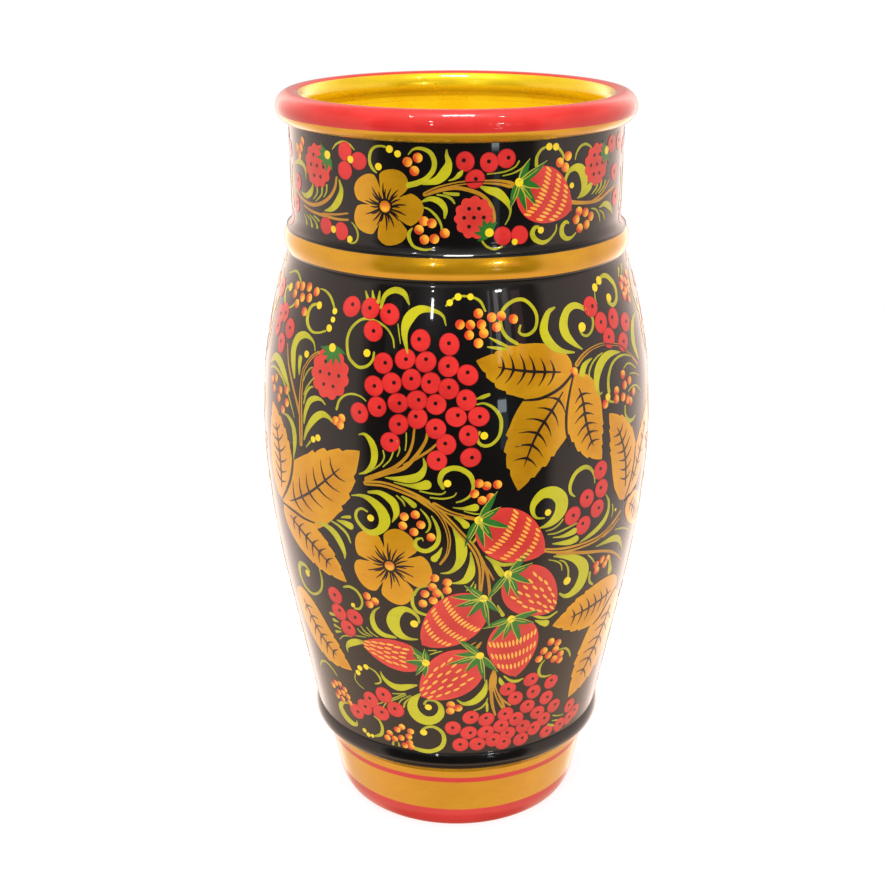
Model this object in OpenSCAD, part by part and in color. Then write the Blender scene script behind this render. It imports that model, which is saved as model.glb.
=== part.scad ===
// Turned and lacquered barrel vase, built up from wooden sections that are glued spigot to rebate.
// Origin: centre of the standing face. +Z is the axis of the vase.

/* [Foot] */
// Height of the foot up to the lower ring
foot_h = 31; // [28:0.5:34]
// Radius of the face that the vase stands on
foot_base_r = 46.5; // [46:0.5:48]
// Radius where the rounded bottom edge meets the side of the foot
foot_side_r = 51.9; // [51:0.1:53]
// Height of the rounded bottom edge
foot_edge_h = 9; // [6:0.5:12]
// Radius at the top of the foot
foot_top_r = 56.6; // [56.2:0.1:57.2]

/* [Lower ring] */
// Height of the lower ring, bead and cove together
lower_ring_h = 10.6; // [10:0.1:12]
// Height of the cove under the bead
lower_cove_h = 3.4; // [3:0.1:4]
// Radius at the lower edge of the bead
lower_bead_r = 60.4; // [60:0.1:61]
// Radius at the crown of the bead
lower_crown_r = 61.8; // [61.4:0.1:62.4]

/* [Barrel] */
// Height of the barrel between its two rings
barrel_h = 196.7; // [190:0.1:204]
// Radius at the bottom edge
barrel_bottom_r = 60.7; // [60.2:0.1:61.2]
// Radius at the belly, the widest place of the vase
belly_r = 79.3; // [77:0.1:82]
// Height of the belly above the bottom edge
belly_rise = 125.4; // [118:0.1:132]
// Radius at the top edge
barrel_top_r = 67.2; // [67:0.1:67.6]
// Wall thickness at the belly
wall_t = 8; // [7:0.5:9]

/* [Shoulder ring] */
// Height of the shoulder ring
shoulder_ring_h = 10; // [9:0.5:11]
// How far its crown stands out from its edges
shoulder_swell = 1.35; // [1:0.05:1.8]

/* [Neck] */
// Height of the neck up to the rim
neck_h = 40; // [38:0.5:44]
// Radius at the top of the neck
neck_top_r = 65.3; // [65:0.1:65.8]
// Radius just above the flare at its foot
neck_low_r = 65; // [64.6:0.1:65.4]
// Height of the flare that runs out onto the shoulder ring
neck_flare_h = 4.5; // [3:0.5:6]

/* [Rim] */
// Outer radius of the rim
rim_r = 70.2; // [69.8:0.1:70.6]
// Radius of the round bead that forms the rim
rim_bead_r = 5.85; // [5.8:0.05:5.9]

/* [Hollow and joints] */
// Radius of the straight bore through the mouth and neck
mouth_r = 58.5; // [58.2:0.1:58.6]
// Radius of the bore where the foot enters the barrel
foot_bore_r = 49.5; // [49:0.1:50]
// Radius of the hole in the floor of the foot
floor_hole_r = 38; // [36:0.5:40]
// Radius of the disc that closes the foot
disc_r = 43; // [42:0.1:43.5]
// Thickness of that disc below the ledge that it seats on
disc_t = 8; // [6:0.5:9]
// How far the disc is set up from the standing face
disc_recess = 2; // [1.5:0.1:2.5]
// Thickness of the wall of the spigots
foot_spigot_t = 4.5; // [4:0.1:4.8]
// Thickness of the neck's lower spigot
neck_spigot_t = 3.5; // [3:0.1:3.7]
// Depth that a spigot enters the barrel
spigot_depth = 9; // [7:0.5:10]
// Height of the tongue between neck and rim
tongue_h = 3; // [2:0.1:3.4]
// Thickness of that tongue
tongue_t = 3; // [2:0.1:3.2]
// Glue line left round each spigot, tongue and disc
glue_gap = 0.08; // [0.05:0.01:0.1]

/* [Hidden] */

$fn = 128;
arc_steps = 10;
flank_steps = 16;
belly_slope_low = 0.18;
belly_slope_high = 0.36;
cavity_slope = 1.1;
cavity_slope_low = 0.9;
edge_pull = 9;
flare_pull = 1.2;
boss_h = 2;
crown_share = 0.46;
tongue_inset = 1.9;

gold = [0.85, 0.62, 0.16];
red = [0.83, 0.13, 0.1];
black = [0.09, 0.07, 0.06];

lower_ring_z = foot_h;
barrel_z = lower_ring_z + lower_ring_h;
belly_z = barrel_z + belly_rise;
shoulder_z = barrel_z + barrel_h;
neck_z = shoulder_z + shoulder_ring_h;
rim_z = neck_z + neck_h;
rim_bead_z = rim_z + rim_bead_r;

shoulder_edge_r = barrel_top_r;
foot_spigot_r = foot_bore_r + foot_spigot_t;
neck_spigot_r = mouth_r + neck_spigot_t;
tongue_r = mouth_r + tongue_inset;
low_ledge_z = barrel_z + spigot_depth;
high_ledge_z = shoulder_z - spigot_depth;
disc_ledge_z = disc_recess + disc_t;
cavity_r = belly_r - wall_t;

// Point at t along a cubic from a to b that leaves with tangent ta and arrives with tangent tb
function curve_point(a, b, ta, tb, t) =
    (2*t*t*t - 3*t*t + 1)*a + (t*t*t - 2*t*t + t)*ta + (3*t*t - 2*t*t*t)*b + (t*t*t - t*t)*tb;

function curve(a, b, ta, tb, steps) = [for (i = [0:steps]) curve_point(a, b, ta, tb, i/steps)];

// Round swelling between two edge points at z0 and z1, standing out by swell at height share of the way
function swelling(r0, z0, r1, z1, swell, steps) =
    [for (i = [0:steps]) let (s = i/steps) [r0 + (r1 - r0)*s + swell*sin(180*s), z0 + (z1 - z0)*s]];

// Ring turned from the outline between two radii and two heights
module tube(inner_r, outer_r, z0, z1) {
    rotate_extrude() polygon([[inner_r, z0], [outer_r, z0], [outer_r, z1], [inner_r, z1]]);
}

module turned(outline) {
    rotate_extrude() polygon(outline);
}

module bottom_disc() {
    color(gold) union() {
        translate([0, 0, disc_recess]) cylinder(h = disc_t, r = disc_r - glue_gap);
        translate([0, 0, disc_ledge_z]) cylinder(h = boss_h, r = floor_hole_r - glue_gap);
    }
}

module foot_section() {
    edge = curve([foot_base_r, 0], [foot_side_r, foot_edge_h], [edge_pull, 0], [0.5, edge_pull], arc_steps);
    cavity = curve([floor_hole_r, disc_ledge_z], [foot_bore_r, foot_h], [0, foot_h/2], [0, foot_h/2], arc_steps);
    color(gold) turned(concat(
        [[disc_r, 0]],
        edge,
        [[foot_top_r, foot_h], [foot_spigot_r, foot_h], [foot_spigot_r, low_ledge_z],
         [foot_bore_r, low_ledge_z]],
        [for (i = [arc_steps:-1:0]) cavity[i]],
        [[disc_r, disc_ledge_z]]));
}

module lower_ring() {
    bead_z = lower_ring_z + lower_cove_h;
    cove = curve([foot_top_r, lower_ring_z], [lower_bead_r, bead_z], [0.6, 3.4], [5, 1.6], arc_steps);
    crown_z = bead_z + (barrel_z - bead_z)*crown_share;
    low_flank = curve([lower_bead_r, bead_z], [lower_crown_r, crown_z], [2.2, 2.2], [0, 4], arc_steps);
    high_flank = curve([lower_crown_r, crown_z], [barrel_bottom_r, barrel_z], [0, 4], [-2, 2], arc_steps);
    color(black) turned(concat(
        [[foot_spigot_r + glue_gap, lower_ring_z]],
        cove,
        [for (i = [1:arc_steps]) low_flank[i]],
        [for (i = [1:arc_steps]) high_flank[i]],
        [[foot_spigot_r + glue_gap, barrel_z]]));
}

module barrel_section() {
    low_rise = belly_z - barrel_z;
    high_rise = shoulder_z - belly_z;
    low_flank = curve([barrel_bottom_r, barrel_z], [belly_r, belly_z],
                      [belly_slope_low*low_rise, low_rise], [0, low_rise], flank_steps);
    high_flank = curve([belly_r, belly_z], [barrel_top_r, shoulder_z],
                       [0, high_rise], [-belly_slope_high*high_rise, high_rise], flank_steps);
    low_span = belly_z - low_ledge_z;
    high_span = high_ledge_z - belly_z;
    low_cavity = curve([foot_bore_r, low_ledge_z + glue_gap], [cavity_r, belly_z],
                       [cavity_slope_low*low_span/3, low_span], [0, low_span], flank_steps);
    high_cavity = curve([cavity_r, belly_z], [mouth_r, high_ledge_z - glue_gap],
                        [0, high_span], [-cavity_slope*high_span/3, high_span], flank_steps);
    low_rebate_r = foot_spigot_r + glue_gap;
    high_rebate_r = neck_spigot_r + glue_gap;
    color(black) turned(concat(
        [[low_rebate_r, barrel_z]],
        low_flank,
        [for (i = [1:flank_steps]) high_flank[i]],
        [[high_rebate_r, shoulder_z], [high_rebate_r, high_ledge_z - glue_gap]],
        [for (i = [flank_steps:-1:0]) high_cavity[i]],
        [for (i = [flank_steps - 1:-1:0]) low_cavity[i]],
        [[low_rebate_r, low_ledge_z + glue_gap]]));
}

module shoulder_ring() {
    bead = swelling(shoulder_edge_r, shoulder_z, shoulder_edge_r, neck_z, shoulder_swell, arc_steps);
    color(gold) turned(concat(
        [[neck_spigot_r + glue_gap, shoulder_z]],
        bead,
        [[neck_spigot_r + glue_gap, neck_z]]));
}

module neck_section() {
    flare = curve([shoulder_edge_r, neck_z], [neck_low_r, neck_z + neck_flare_h],
                  [-flare_pull, flare_pull], [0, 2*neck_flare_h], arc_steps);
    color(black) union() {
        turned(concat(
            [[mouth_r, high_ledge_z], [neck_spigot_r, high_ledge_z], [neck_spigot_r, neck_z]],
            flare,
            [[neck_top_r, rim_z], [mouth_r, rim_z]]));
        tube(tongue_r, tongue_r + tongue_t, rim_z, rim_z + tongue_h);
    }
}

module rim_ring() {
    color(red) difference() {
        union() {
            rotate_extrude() translate([rim_r - rim_bead_r, rim_bead_z]) circle(r = rim_bead_r);
            tube(mouth_r + tongue_inset/3, neck_top_r, rim_z, rim_bead_z);
        }
        tube(tongue_r - glue_gap, tongue_r + tongue_t + glue_gap, rim_z - 1, rim_z + tongue_h + glue_gap);
    }
}

bottom_disc();
foot_section();
lower_ring();
barrel_section();
shoulder_ring();
neck_section();
rim_ring();
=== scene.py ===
"""Khokhloma barrel vase: turned, lacquered wooden pieces with hand-painted ornament.

Ornament is laid out as a painter marks it on the vase: an angle in degrees round the axis, 0 at the
front and growing to the right, and a height in millimetres above the table. Each colour of paint is
one thin closed film that follows the turned skin under it.
"""
from __future__ import annotations

import logging
import math
from dataclasses import dataclass
from enum import Enum
from typing import Callable, Iterable, Sequence

import bpy
import numpy as np
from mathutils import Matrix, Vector


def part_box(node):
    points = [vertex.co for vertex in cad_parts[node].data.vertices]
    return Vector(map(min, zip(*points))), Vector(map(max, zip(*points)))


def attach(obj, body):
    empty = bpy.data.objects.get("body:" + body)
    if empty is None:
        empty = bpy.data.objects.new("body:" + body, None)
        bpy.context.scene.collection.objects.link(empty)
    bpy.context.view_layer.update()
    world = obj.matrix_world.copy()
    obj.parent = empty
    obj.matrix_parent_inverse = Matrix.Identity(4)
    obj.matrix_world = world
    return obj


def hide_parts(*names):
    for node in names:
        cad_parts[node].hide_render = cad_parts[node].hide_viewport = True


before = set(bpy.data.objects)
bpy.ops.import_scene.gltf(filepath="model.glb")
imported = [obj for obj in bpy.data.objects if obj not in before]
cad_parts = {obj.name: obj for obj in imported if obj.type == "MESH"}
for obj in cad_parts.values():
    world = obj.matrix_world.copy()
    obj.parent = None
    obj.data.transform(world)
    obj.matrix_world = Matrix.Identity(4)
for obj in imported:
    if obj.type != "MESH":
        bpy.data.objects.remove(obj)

LOG = logging.getLogger("vase")
MM = 0.001
SPIN_STEPS = 192
FRONT_AND_BACK = (0.0, 180.0)
BOTH_SIDES = (90.0, -90.0)

Point = tuple[float, float]
Station = tuple[float, float, float]
Colour = tuple[float, float, float]


# ---------------------------------------------------------------- shape of the turned wood


def curve(start: Point, end: Point, leave: Point, arrive: Point, steps: int) -> list[Point]:
    """Points of a smooth curve between two points of a section.

    Args:
        start: First point, as radius and height in mm.
        end: Last point.
        leave: Tangent at the start, as long as the curve's pull there.
        arrive: Tangent at the end.
        steps: How many straight steps the curve is cut into.

    Returns:
        The points from start to end, both included.
    """
    points = []
    for i in range(steps + 1):
        t = i / steps
        a, b = 2 * t**3 - 3 * t**2 + 1, 3 * t**2 - 2 * t**3
        c, d = t**3 - 2 * t**2 + t, t**3 - t**2
        points.append(tuple(a * start[k] + b * end[k] + c * leave[k] + d * arrive[k] for k in (0, 1)))
    return points


def arc(centre: Point, radius: float, first: float, last: float, steps: int) -> list[Point]:
    """Points of a round stretch of a section.

    Args:
        centre: Centre, as radius and height in mm.
        radius: Radius of the arc in mm.
        first: Angle of the first point in degrees, 0 outwards and 90 upwards.
        last: Angle of the last point in degrees.
        steps: How many straight steps the arc is cut into.

    Returns:
        The points of the arc, both ends included.
    """
    turns = [math.radians(first + (last - first) * i / steps) for i in range(steps + 1)]
    return [(centre[0] + radius * math.cos(a), centre[1] + radius * math.sin(a)) for a in turns]


@dataclass(frozen=True)
class VaseSizes:
    """Driving sizes of the vase in mm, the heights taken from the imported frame."""

    foot_z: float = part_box("lower_ring")[0].z / MM
    bead_z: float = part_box("lower_ring")[1].z / MM
    shoulder_z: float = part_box("shoulder_ring")[0].z / MM
    neck_z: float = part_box("shoulder_ring")[1].z / MM
    mouth_z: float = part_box("rim_ring")[0].z / MM
    top_z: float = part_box("rim_ring")[1].z / MM
    belly_r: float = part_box("barrel_section")[1].x / MM
    rim_r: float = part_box("rim_ring")[1].x / MM
    foot_base_r: float = 46.5
    foot_side_r: float = 51.9
    foot_edge_z: float = 9.0
    foot_top_r: float = 56.6
    floor_hole_r: float = 38.0
    floor_z: float = 10.0
    foot_bore_r: float = 49.5
    cove_r: float = 60.4
    cove_z: float = 34.4
    crown_r: float = 61.8
    crown_z: float = 37.71
    low_rebate_r: float = 54.08
    high_rebate_r: float = 62.08
    waist_r: float = 60.7
    belly_z: float = 167.0
    cavity_r: float = 71.3
    shoulder_r: float = 67.2
    neck_low_r: float = 65.0
    flare_z: float = 252.8
    bore_r: float = 58.5
    ease: float = 0.25

    @property
    def rim_tube(self) -> float:
        """Radius of the rolled rim's round section."""
        return (self.rim_r - self.bore_r) / 2

    @property
    def rim_centre(self) -> Point:
        """Centre of the rolled rim's round section."""
        return (self.rim_r - self.rim_tube, self.top_z - self.rim_tube)


SIZES = VaseSizes()


def barrel_outline(s: VaseSizes = SIZES) -> list[Point]:
    """Outer line of the barrel from the lower bead up to the shoulder."""
    rise, fall = s.belly_z - s.bead_z, s.shoulder_z - s.belly_z
    low = curve((s.waist_r, s.bead_z), (s.belly_r, s.belly_z), (0.18 * rise, rise), (0, rise), 72)
    high = curve((s.belly_r, s.belly_z), (s.shoulder_r, s.shoulder_z), (0, fall), (-0.36 * fall, fall), 44)
    return low + high[1:]


def neck_outline(s: VaseSizes = SIZES) -> list[Point]:
    """Outer line of the neck from the shoulder ring up to the rim."""
    flare_h, widening, steps = 4.5, 0.3, 24
    flare = curve((s.shoulder_r, s.neck_z), (s.neck_low_r, s.neck_z + flare_h), (-1.2, 1.2), (0, 9), 10)
    rise = s.mouth_z - s.flare_z
    for i in range(1, steps + 1):
        flare.append((s.neck_low_r + widening * i / steps, s.flare_z + rise * i / steps))
    return flare


class Skin:
    """The vase's outer skin, which paint is laid on."""

    def __init__(self, outline: Sequence[Point]) -> None:
        """Keeps an outline.

        Args:
            outline: Points of radius and height in mm, from the lowest to the highest.
        """
        self.radii = np.array([p[0] for p in outline])
        self.heights = np.array([p[1] for p in outline])

    def radius(self, height: float | np.ndarray) -> np.ndarray:
        """Radius of the skin in mm at a height in mm."""
        return np.interp(height, self.heights, self.radii)

    def wrap(self, angles: np.ndarray, heights: np.ndarray, lifts: np.ndarray) -> np.ndarray:
        """Lays points on the skin.

        Args:
            angles: Angles round the vase in degrees.
            heights: Heights in mm.
            lifts: How far each point stands above the skin in mm.

        Returns:
            The points in metres, one row each.
        """
        turn = np.radians(angles)
        reach = self.radius(heights) + lifts
        return np.column_stack((reach * np.sin(turn), -reach * np.cos(turn), heights)) * MM


# ---------------------------------------------------------------- finishes


@dataclass(frozen=True)
class Finish:
    """Colour and gloss of one paint or metal under the clear lacquer.

    Attributes:
        light: Colour where the paint lies thick, as linear red, green and blue.
        deep: Colour where it lies thin or where the stroke turns.
        metallic: Share of tin powder in it.
        roughness: Roughness of the paint under the lacquer.
        grain: Size of its brush marks, as a noise scale per metre.
    """

    light: Colour
    deep: Colour
    metallic: float = 0.0
    roughness: float = 0.45
    grain: float = 90.0


BLACK = Finish((0.0034, 0.0030, 0.0030), (0.0020, 0.0018, 0.0018), 0.0, 0.30, 40.0)
VERMILION = Finish((0.66, 0.024, 0.018), (0.50, 0.012, 0.011), 0.0, 0.40, 70.0)
GILT = Finish((0.84, 0.44, 0.010), (0.64, 0.28, 0.003), 0.66, 0.23, 60.0)
# Gilt of the hollow: the same gilding as outside, painted brighter and yellower as painted light for the glow
# that fills the mouth.
GILT_INSIDE_PAINTED_LIGHT = Finish((1.00, 0.74, 0.012), (0.96, 0.58, 0.004), 0.55, 0.28, 60.0)
LEAF_GOLD = Finish((0.84, 0.41, 0.010), (0.63, 0.25, 0.002), 0.55, 0.31, 80.0)
STEM_OCHRE = Finish((0.62, 0.30, 0.016), (0.42, 0.17, 0.008), 0.30, 0.42, 120.0)
LIME = Finish((0.54, 0.49, 0.006), (0.27, 0.26, 0.014), 0.10, 0.42, 110.0)
BERRY_RED = Finish((0.68, 0.022, 0.018), (0.36, 0.005, 0.006), 0.0, 0.42, 100.0)
FRUIT_RED = Finish((0.66, 0.036, 0.022), (0.46, 0.012, 0.010), 0.0, 0.42, 60.0)
SEED_YELLOW = Finish((0.90, 0.46, 0.055), (0.84, 0.30, 0.035), 0.0, 0.42, 140.0)
DOT_YELLOW = Finish((0.84, 0.62, 0.012), (0.74, 0.44, 0.010), 0.0, 0.42, 140.0)
LINE_LIME = Finish((0.56, 0.50, 0.045), (0.36, 0.34, 0.025), 0.0, 0.42, 140.0)
CALYX_GREEN = Finish((0.022, 0.160, 0.014), (0.010, 0.080, 0.008), 0.0, 0.42, 110.0)
BUD_BLUSH = Finish((0.92, 0.44, 0.026), (0.58, 0.040, 0.006), 0.0, 0.42, 140.0)
UMBER = Finish((0.016, 0.007, 0.004), (0.008, 0.004, 0.003), 0.0, 0.45, 140.0)


class NodeTree:
    """Short hand for wiring a shader node tree."""

    def __init__(self, tree: bpy.types.NodeTree) -> None:
        """Keeps the tree."""
        self.tree = tree

    def add(self, kind: str, **values: object) -> bpy.types.Node:
        """Adds a node.

        Args:
            kind: Node type without the ShaderNode prefix.
            values: Node properties to set.

        Returns:
            The new node.
        """
        node = self.tree.nodes.new("ShaderNode" + kind)
        for name, value in values.items():
            setattr(node, name, value)
        return node

    def link(self, source: bpy.types.NodeSocket, target: bpy.types.NodeSocket) -> None:
        """Joins two sockets."""
        self.tree.links.new(source, target)

    def maths(self, operation: str, first: object, second: object = 0.0) -> bpy.types.NodeSocket:
        """Adds a Math node.

        Args:
            operation: Operation name of the Math node.
            first: A socket or a number.
            second: A socket or a number.

        Returns:
            The result socket.
        """
        node = self.add("Math", operation=operation)
        for socket, value in zip(node.inputs, (first, second)):
            if isinstance(value, bpy.types.NodeSocket):
                self.link(value, socket)
            else:
                socket.default_value = value
        return node.outputs[0]

    def step(self, value: bpy.types.NodeSocket, low: float, high: float) -> bpy.types.NodeSocket:
        """Adds a smooth step that rises from 0 at low to 1 at high.

        Args:
            value: Socket with the value to test.
            low: Where the step starts.
            high: Where it ends.

        Returns:
            The result socket, from 0 to 1.
        """
        node = self.add("MapRange", interpolation_type="SMOOTHSTEP")
        self.link(value, node.inputs["Value"])
        node.inputs["From Min"].default_value = low
        node.inputs["From Max"].default_value = high
        return node.outputs["Result"]

    def mix(self, factor: object, first: object, second: object) -> bpy.types.NodeSocket:
        """Mixes two colours.

        Args:
            factor: A socket or a number, 0 for the first colour and 1 for the second.
            first: A socket or a linear colour.
            second: A socket or a linear colour.

        Returns:
            The mixed colour.
        """
        node = self.add("Mix", data_type="RGBA")
        sockets = (node.inputs["Factor"], node.inputs[6], node.inputs[7])
        for socket, value in zip(sockets, (factor, first, second)):
            if isinstance(value, bpy.types.NodeSocket):
                self.link(value, socket)
            elif isinstance(value, tuple):
                socket.default_value = (*value, 1.0)
            else:
                socket.default_value = value
        return node.outputs[2]


class SharedEffects:
    """Node groups that several finishes use."""

    streak_scale = 170.0
    streak_stretch = 4.0
    drift_depth = 1.3
    streak_depth = 0.40
    roughness_drift = 0.16
    ripple_scale = 34.0
    lathe_scale = 160.0
    lathe_depth = 0.12

    def __init__(self) -> None:
        """Builds each group once."""
        self.brushwork = self._brushwork()
        self.lacquer = self._lacquer()

    @staticmethod
    def _group(name: str, inputs: dict[str, str], outputs: dict[str, str]) -> tuple[NodeTree, object, object]:
        """Starts a node group.

        Args:
            name: Name of the group.
            inputs: Input names and their socket kinds.
            outputs: Output names and their socket kinds.

        Returns:
            The tree, its input node and its output node.
        """
        group = bpy.data.node_groups.new(name, "ShaderNodeTree")
        for direction, sockets in (("INPUT", inputs), ("OUTPUT", outputs)):
            for label, kind in sockets.items():
                group.interface.new_socket(name=label, in_out=direction, socket_type="NodeSocket" + kind)
        return NodeTree(group), group.nodes.new("NodeGroupInput"), group.nodes.new("NodeGroupOutput")

    def _brushwork(self) -> bpy.types.NodeTree:
        """Colour that drifts between two tones with fine streaks, as brushed paint does."""
        t, given, out = self._group(
            "brushwork",
            {"Light": "Color", "Deep": "Color", "Blush": "Float", "Grain": "Float"},
            {"Color": "Color", "Roughness": "Float"},
        )
        place = t.add("TexCoord")
        cloud = t.add("TexNoise")
        cloud.inputs["Detail"].default_value = 3.0
        t.link(place.outputs["Object"], cloud.inputs["Vector"])
        t.link(given.outputs["Grain"], cloud.inputs["Scale"])
        stretch = t.add("Mapping")
        stretch.inputs["Scale"].default_value = (1.0, 1.0, self.streak_stretch)
        t.link(place.outputs["Object"], stretch.inputs["Vector"])
        streak = t.add("TexNoise")
        streak.inputs["Detail"].default_value = 1.0
        streak.inputs["Scale"].default_value = self.streak_scale
        t.link(stretch.outputs["Vector"], streak.inputs["Vector"])
        drift = t.maths("MULTIPLY", t.maths("SUBTRACT", cloud.outputs[0], 0.5), self.drift_depth)
        lines = t.maths("MULTIPLY", t.maths("SUBTRACT", streak.outputs[0], 0.5), self.streak_depth)
        flat = t.maths("SUBTRACT", 1.0, given.outputs["Blush"])
        depth = t.maths("SUBTRACT", flat, t.maths("ADD", drift, lines))
        clamp = t.add("Clamp")
        t.link(depth, clamp.inputs["Value"])
        colour = t.add("Mix", data_type="RGBA")
        t.link(clamp.outputs[0], colour.inputs["Factor"])
        t.link(given.outputs["Light"], colour.inputs[6])
        t.link(given.outputs["Deep"], colour.inputs[7])
        t.link(colour.outputs[2], out.inputs["Color"])
        rough = t.maths("MULTIPLY", t.maths("ADD", drift, lines), self.roughness_drift)
        t.link(rough, out.inputs["Roughness"])
        return t.tree

    def _lacquer(self) -> bpy.types.NodeTree:
        """Slow ripples of thick clear lacquer with the lathe's faint rings, as a height."""
        t, given, out = self._group("lacquer_ripple", {"Strength": "Float"}, {"Height": "Float"})
        place = t.add("TexCoord")
        wave = t.add("TexNoise")
        wave.inputs["Scale"].default_value = self.ripple_scale
        wave.inputs["Detail"].default_value = 1.0
        t.link(place.outputs["Object"], wave.inputs["Vector"])
        split = t.add("SeparateXYZ")
        t.link(place.outputs["Object"], split.inputs[0])
        rings = t.add("TexNoise", noise_dimensions="1D")
        rings.inputs["Scale"].default_value = self.lathe_scale
        rings.inputs["Detail"].default_value = 2.0
        t.link(split.outputs["Z"], rings.inputs["W"])
        both = t.maths("ADD", wave.outputs[0], t.maths("MULTIPLY", rings.outputs[0], self.lathe_depth))
        t.link(t.maths("MULTIPLY", both, given.outputs["Strength"]), out.inputs["Height"])
        return t.tree


class Lacquerer:
    """Makes the materials: paint or tin under one clear, glossy coat."""

    coat_roughness = 0.035
    ripple_mm = 0.05
    even_tone = 0.62
    band_sway_mm = 0.5

    def __init__(self) -> None:
        """Builds the shared effects."""
        self.effects = SharedEffects()
        self.known: dict[str, bpy.types.Material] = {}

    def _start(self, name: str) -> tuple[bpy.types.Material, NodeTree, bpy.types.Node]:
        """Starts a material with its shader and lacquer ripple.

        Args:
            name: Name of the material.

        Returns:
            The material, its tree and its Principled BSDF.
        """
        material = bpy.data.materials.new(name)
        material.use_nodes = True
        tree = NodeTree(material.node_tree)
        shader = material.node_tree.nodes["Principled BSDF"]
        shader.inputs["Coat Weight"].default_value = 1.0
        shader.inputs["Coat Roughness"].default_value = self.coat_roughness
        shader.inputs["Specular IOR Level"].default_value = 0.25
        ripple = tree.add("Group", node_tree=self.effects.lacquer)
        ripple.inputs["Strength"].default_value = 1.0
        bump = tree.add("Bump")
        bump.inputs["Distance"].default_value = self.ripple_mm * MM
        bump.inputs["Strength"].default_value = 1.0
        tree.link(ripple.outputs["Height"], bump.inputs["Height"])
        tree.link(bump.outputs["Normal"], shader.inputs["Normal"])
        tree.link(bump.outputs["Normal"], shader.inputs["Coat Normal"])
        return material, tree, shader

    def _tone(self, tree: NodeTree, finish: Finish, blush: object) -> tuple[object, object]:
        """Adds one finish's brushwork.

        Args:
            tree: The material's tree.
            finish: The finish.
            blush: A socket or number, 1 for the light tone and 0 for the deep one.

        Returns:
            The colour and the roughness sockets.
        """
        work = tree.add("Group", node_tree=self.effects.brushwork)
        work.inputs["Light"].default_value = (*finish.light, 1.0)
        work.inputs["Deep"].default_value = (*finish.deep, 1.0)
        work.inputs["Grain"].default_value = finish.grain
        if isinstance(blush, bpy.types.NodeSocket):
            tree.link(blush, work.inputs["Blush"])
        else:
            work.inputs["Blush"].default_value = blush
        rough = tree.maths("ADD", work.outputs["Roughness"], finish.roughness)
        return work.outputs["Color"], rough

    def paint(self, name: str, finish: Finish) -> bpy.types.Material:
        """Material of a painted film, whose tone follows the film's blush attribute.

        Args:
            name: Name of the material.
            finish: Its finish.

        Returns:
            The material, made once for each name.
        """
        if name not in self.known:
            material, tree, shader = self._start(name)
            blush = tree.add("Attribute", attribute_name="blush")
            colour, rough = self._tone(tree, finish, blush.outputs["Fac"])
            tree.link(colour, shader.inputs["Base Color"])
            tree.link(rough, shader.inputs["Roughness"])
            shader.inputs["Metallic"].default_value = finish.metallic
            self.known[name] = material
        return self.known[name]

    def turned(self, name: str, ground: Finish, bands: Sequence["Band"], inner: Finish) -> bpy.types.Material:
        """Material of a turned piece: a ground with bands outside, another finish inside.

        Args:
            name: Name of the material.
            ground: Finish of the outside between the bands.
            bands: Painted bands round the outside.
            inner: Finish of the faces whose inside attribute is 1.

        Returns:
            The material.
        """
        material, tree, shader = self._start(name)
        place = tree.add("TexCoord")
        split = tree.add("SeparateXYZ")
        tree.link(place.outputs["Object"], split.inputs[0])
        sway = tree.add("TexNoise")
        sway.inputs["Scale"].default_value = 45.0
        tree.link(place.outputs["Object"], sway.inputs["Vector"])
        swing = tree.maths("SUBTRACT", sway.outputs[0], 0.5)
        wobble = tree.maths("MULTIPLY", swing, self.band_sway_mm * MM)
        height = tree.maths("ADD", split.outputs["Z"], wobble)
        colour, rough = self._tone(tree, ground, self.even_tone)
        metal: object = ground.metallic
        layers = [(b.finish, self._band_mask(tree, height, b)) for b in bands]
        inside = tree.add("Attribute", attribute_name="inside")
        layers.append((inner, inside.outputs["Fac"]))
        for finish, mask in layers:
            tint, gloss = self._tone(tree, finish, self.even_tone)
            colour = tree.mix(mask, colour, tint)
            rough = self._blend(tree, mask, rough, gloss)
            metal = self._blend(tree, mask, metal, finish.metallic)
        tree.link(colour, shader.inputs["Base Color"])
        tree.link(rough, shader.inputs["Roughness"])
        if isinstance(metal, bpy.types.NodeSocket):
            tree.link(metal, shader.inputs["Metallic"])
        return material

    @staticmethod
    def _band_mask(tree: NodeTree, height: bpy.types.NodeSocket, band: "Band") -> bpy.types.NodeSocket:
        """Mask of a band between two heights, with edges as sharp as a brush held to the lathe."""
        edge = 0.08 * MM
        above = tree.step(height, band.low * MM - edge, band.low * MM + edge)
        below = tree.step(height, band.high * MM - edge, band.high * MM + edge)
        return tree.maths("SUBTRACT", above, below)

    @staticmethod
    def _blend(tree: NodeTree, mask: bpy.types.NodeSocket, first: object, second: object) -> object:
        """Mixes two numbers or sockets by a mask."""
        if not isinstance(first, bpy.types.NodeSocket) and first == second:
            return first
        node = tree.add("Mix", data_type="FLOAT")
        tree.link(mask, node.inputs["Factor"])
        for socket, value in ((node.inputs[2], first), (node.inputs[3], second)):
            if isinstance(value, bpy.types.NodeSocket):
                tree.link(value, socket)
            else:
                socket.default_value = value
        return node.outputs[0]


@dataclass(frozen=True)
class Band:
    """A band of another finish round a turned piece, between two heights in mm."""

    low: float
    high: float
    finish: Finish


# ---------------------------------------------------------------- turned pieces


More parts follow.
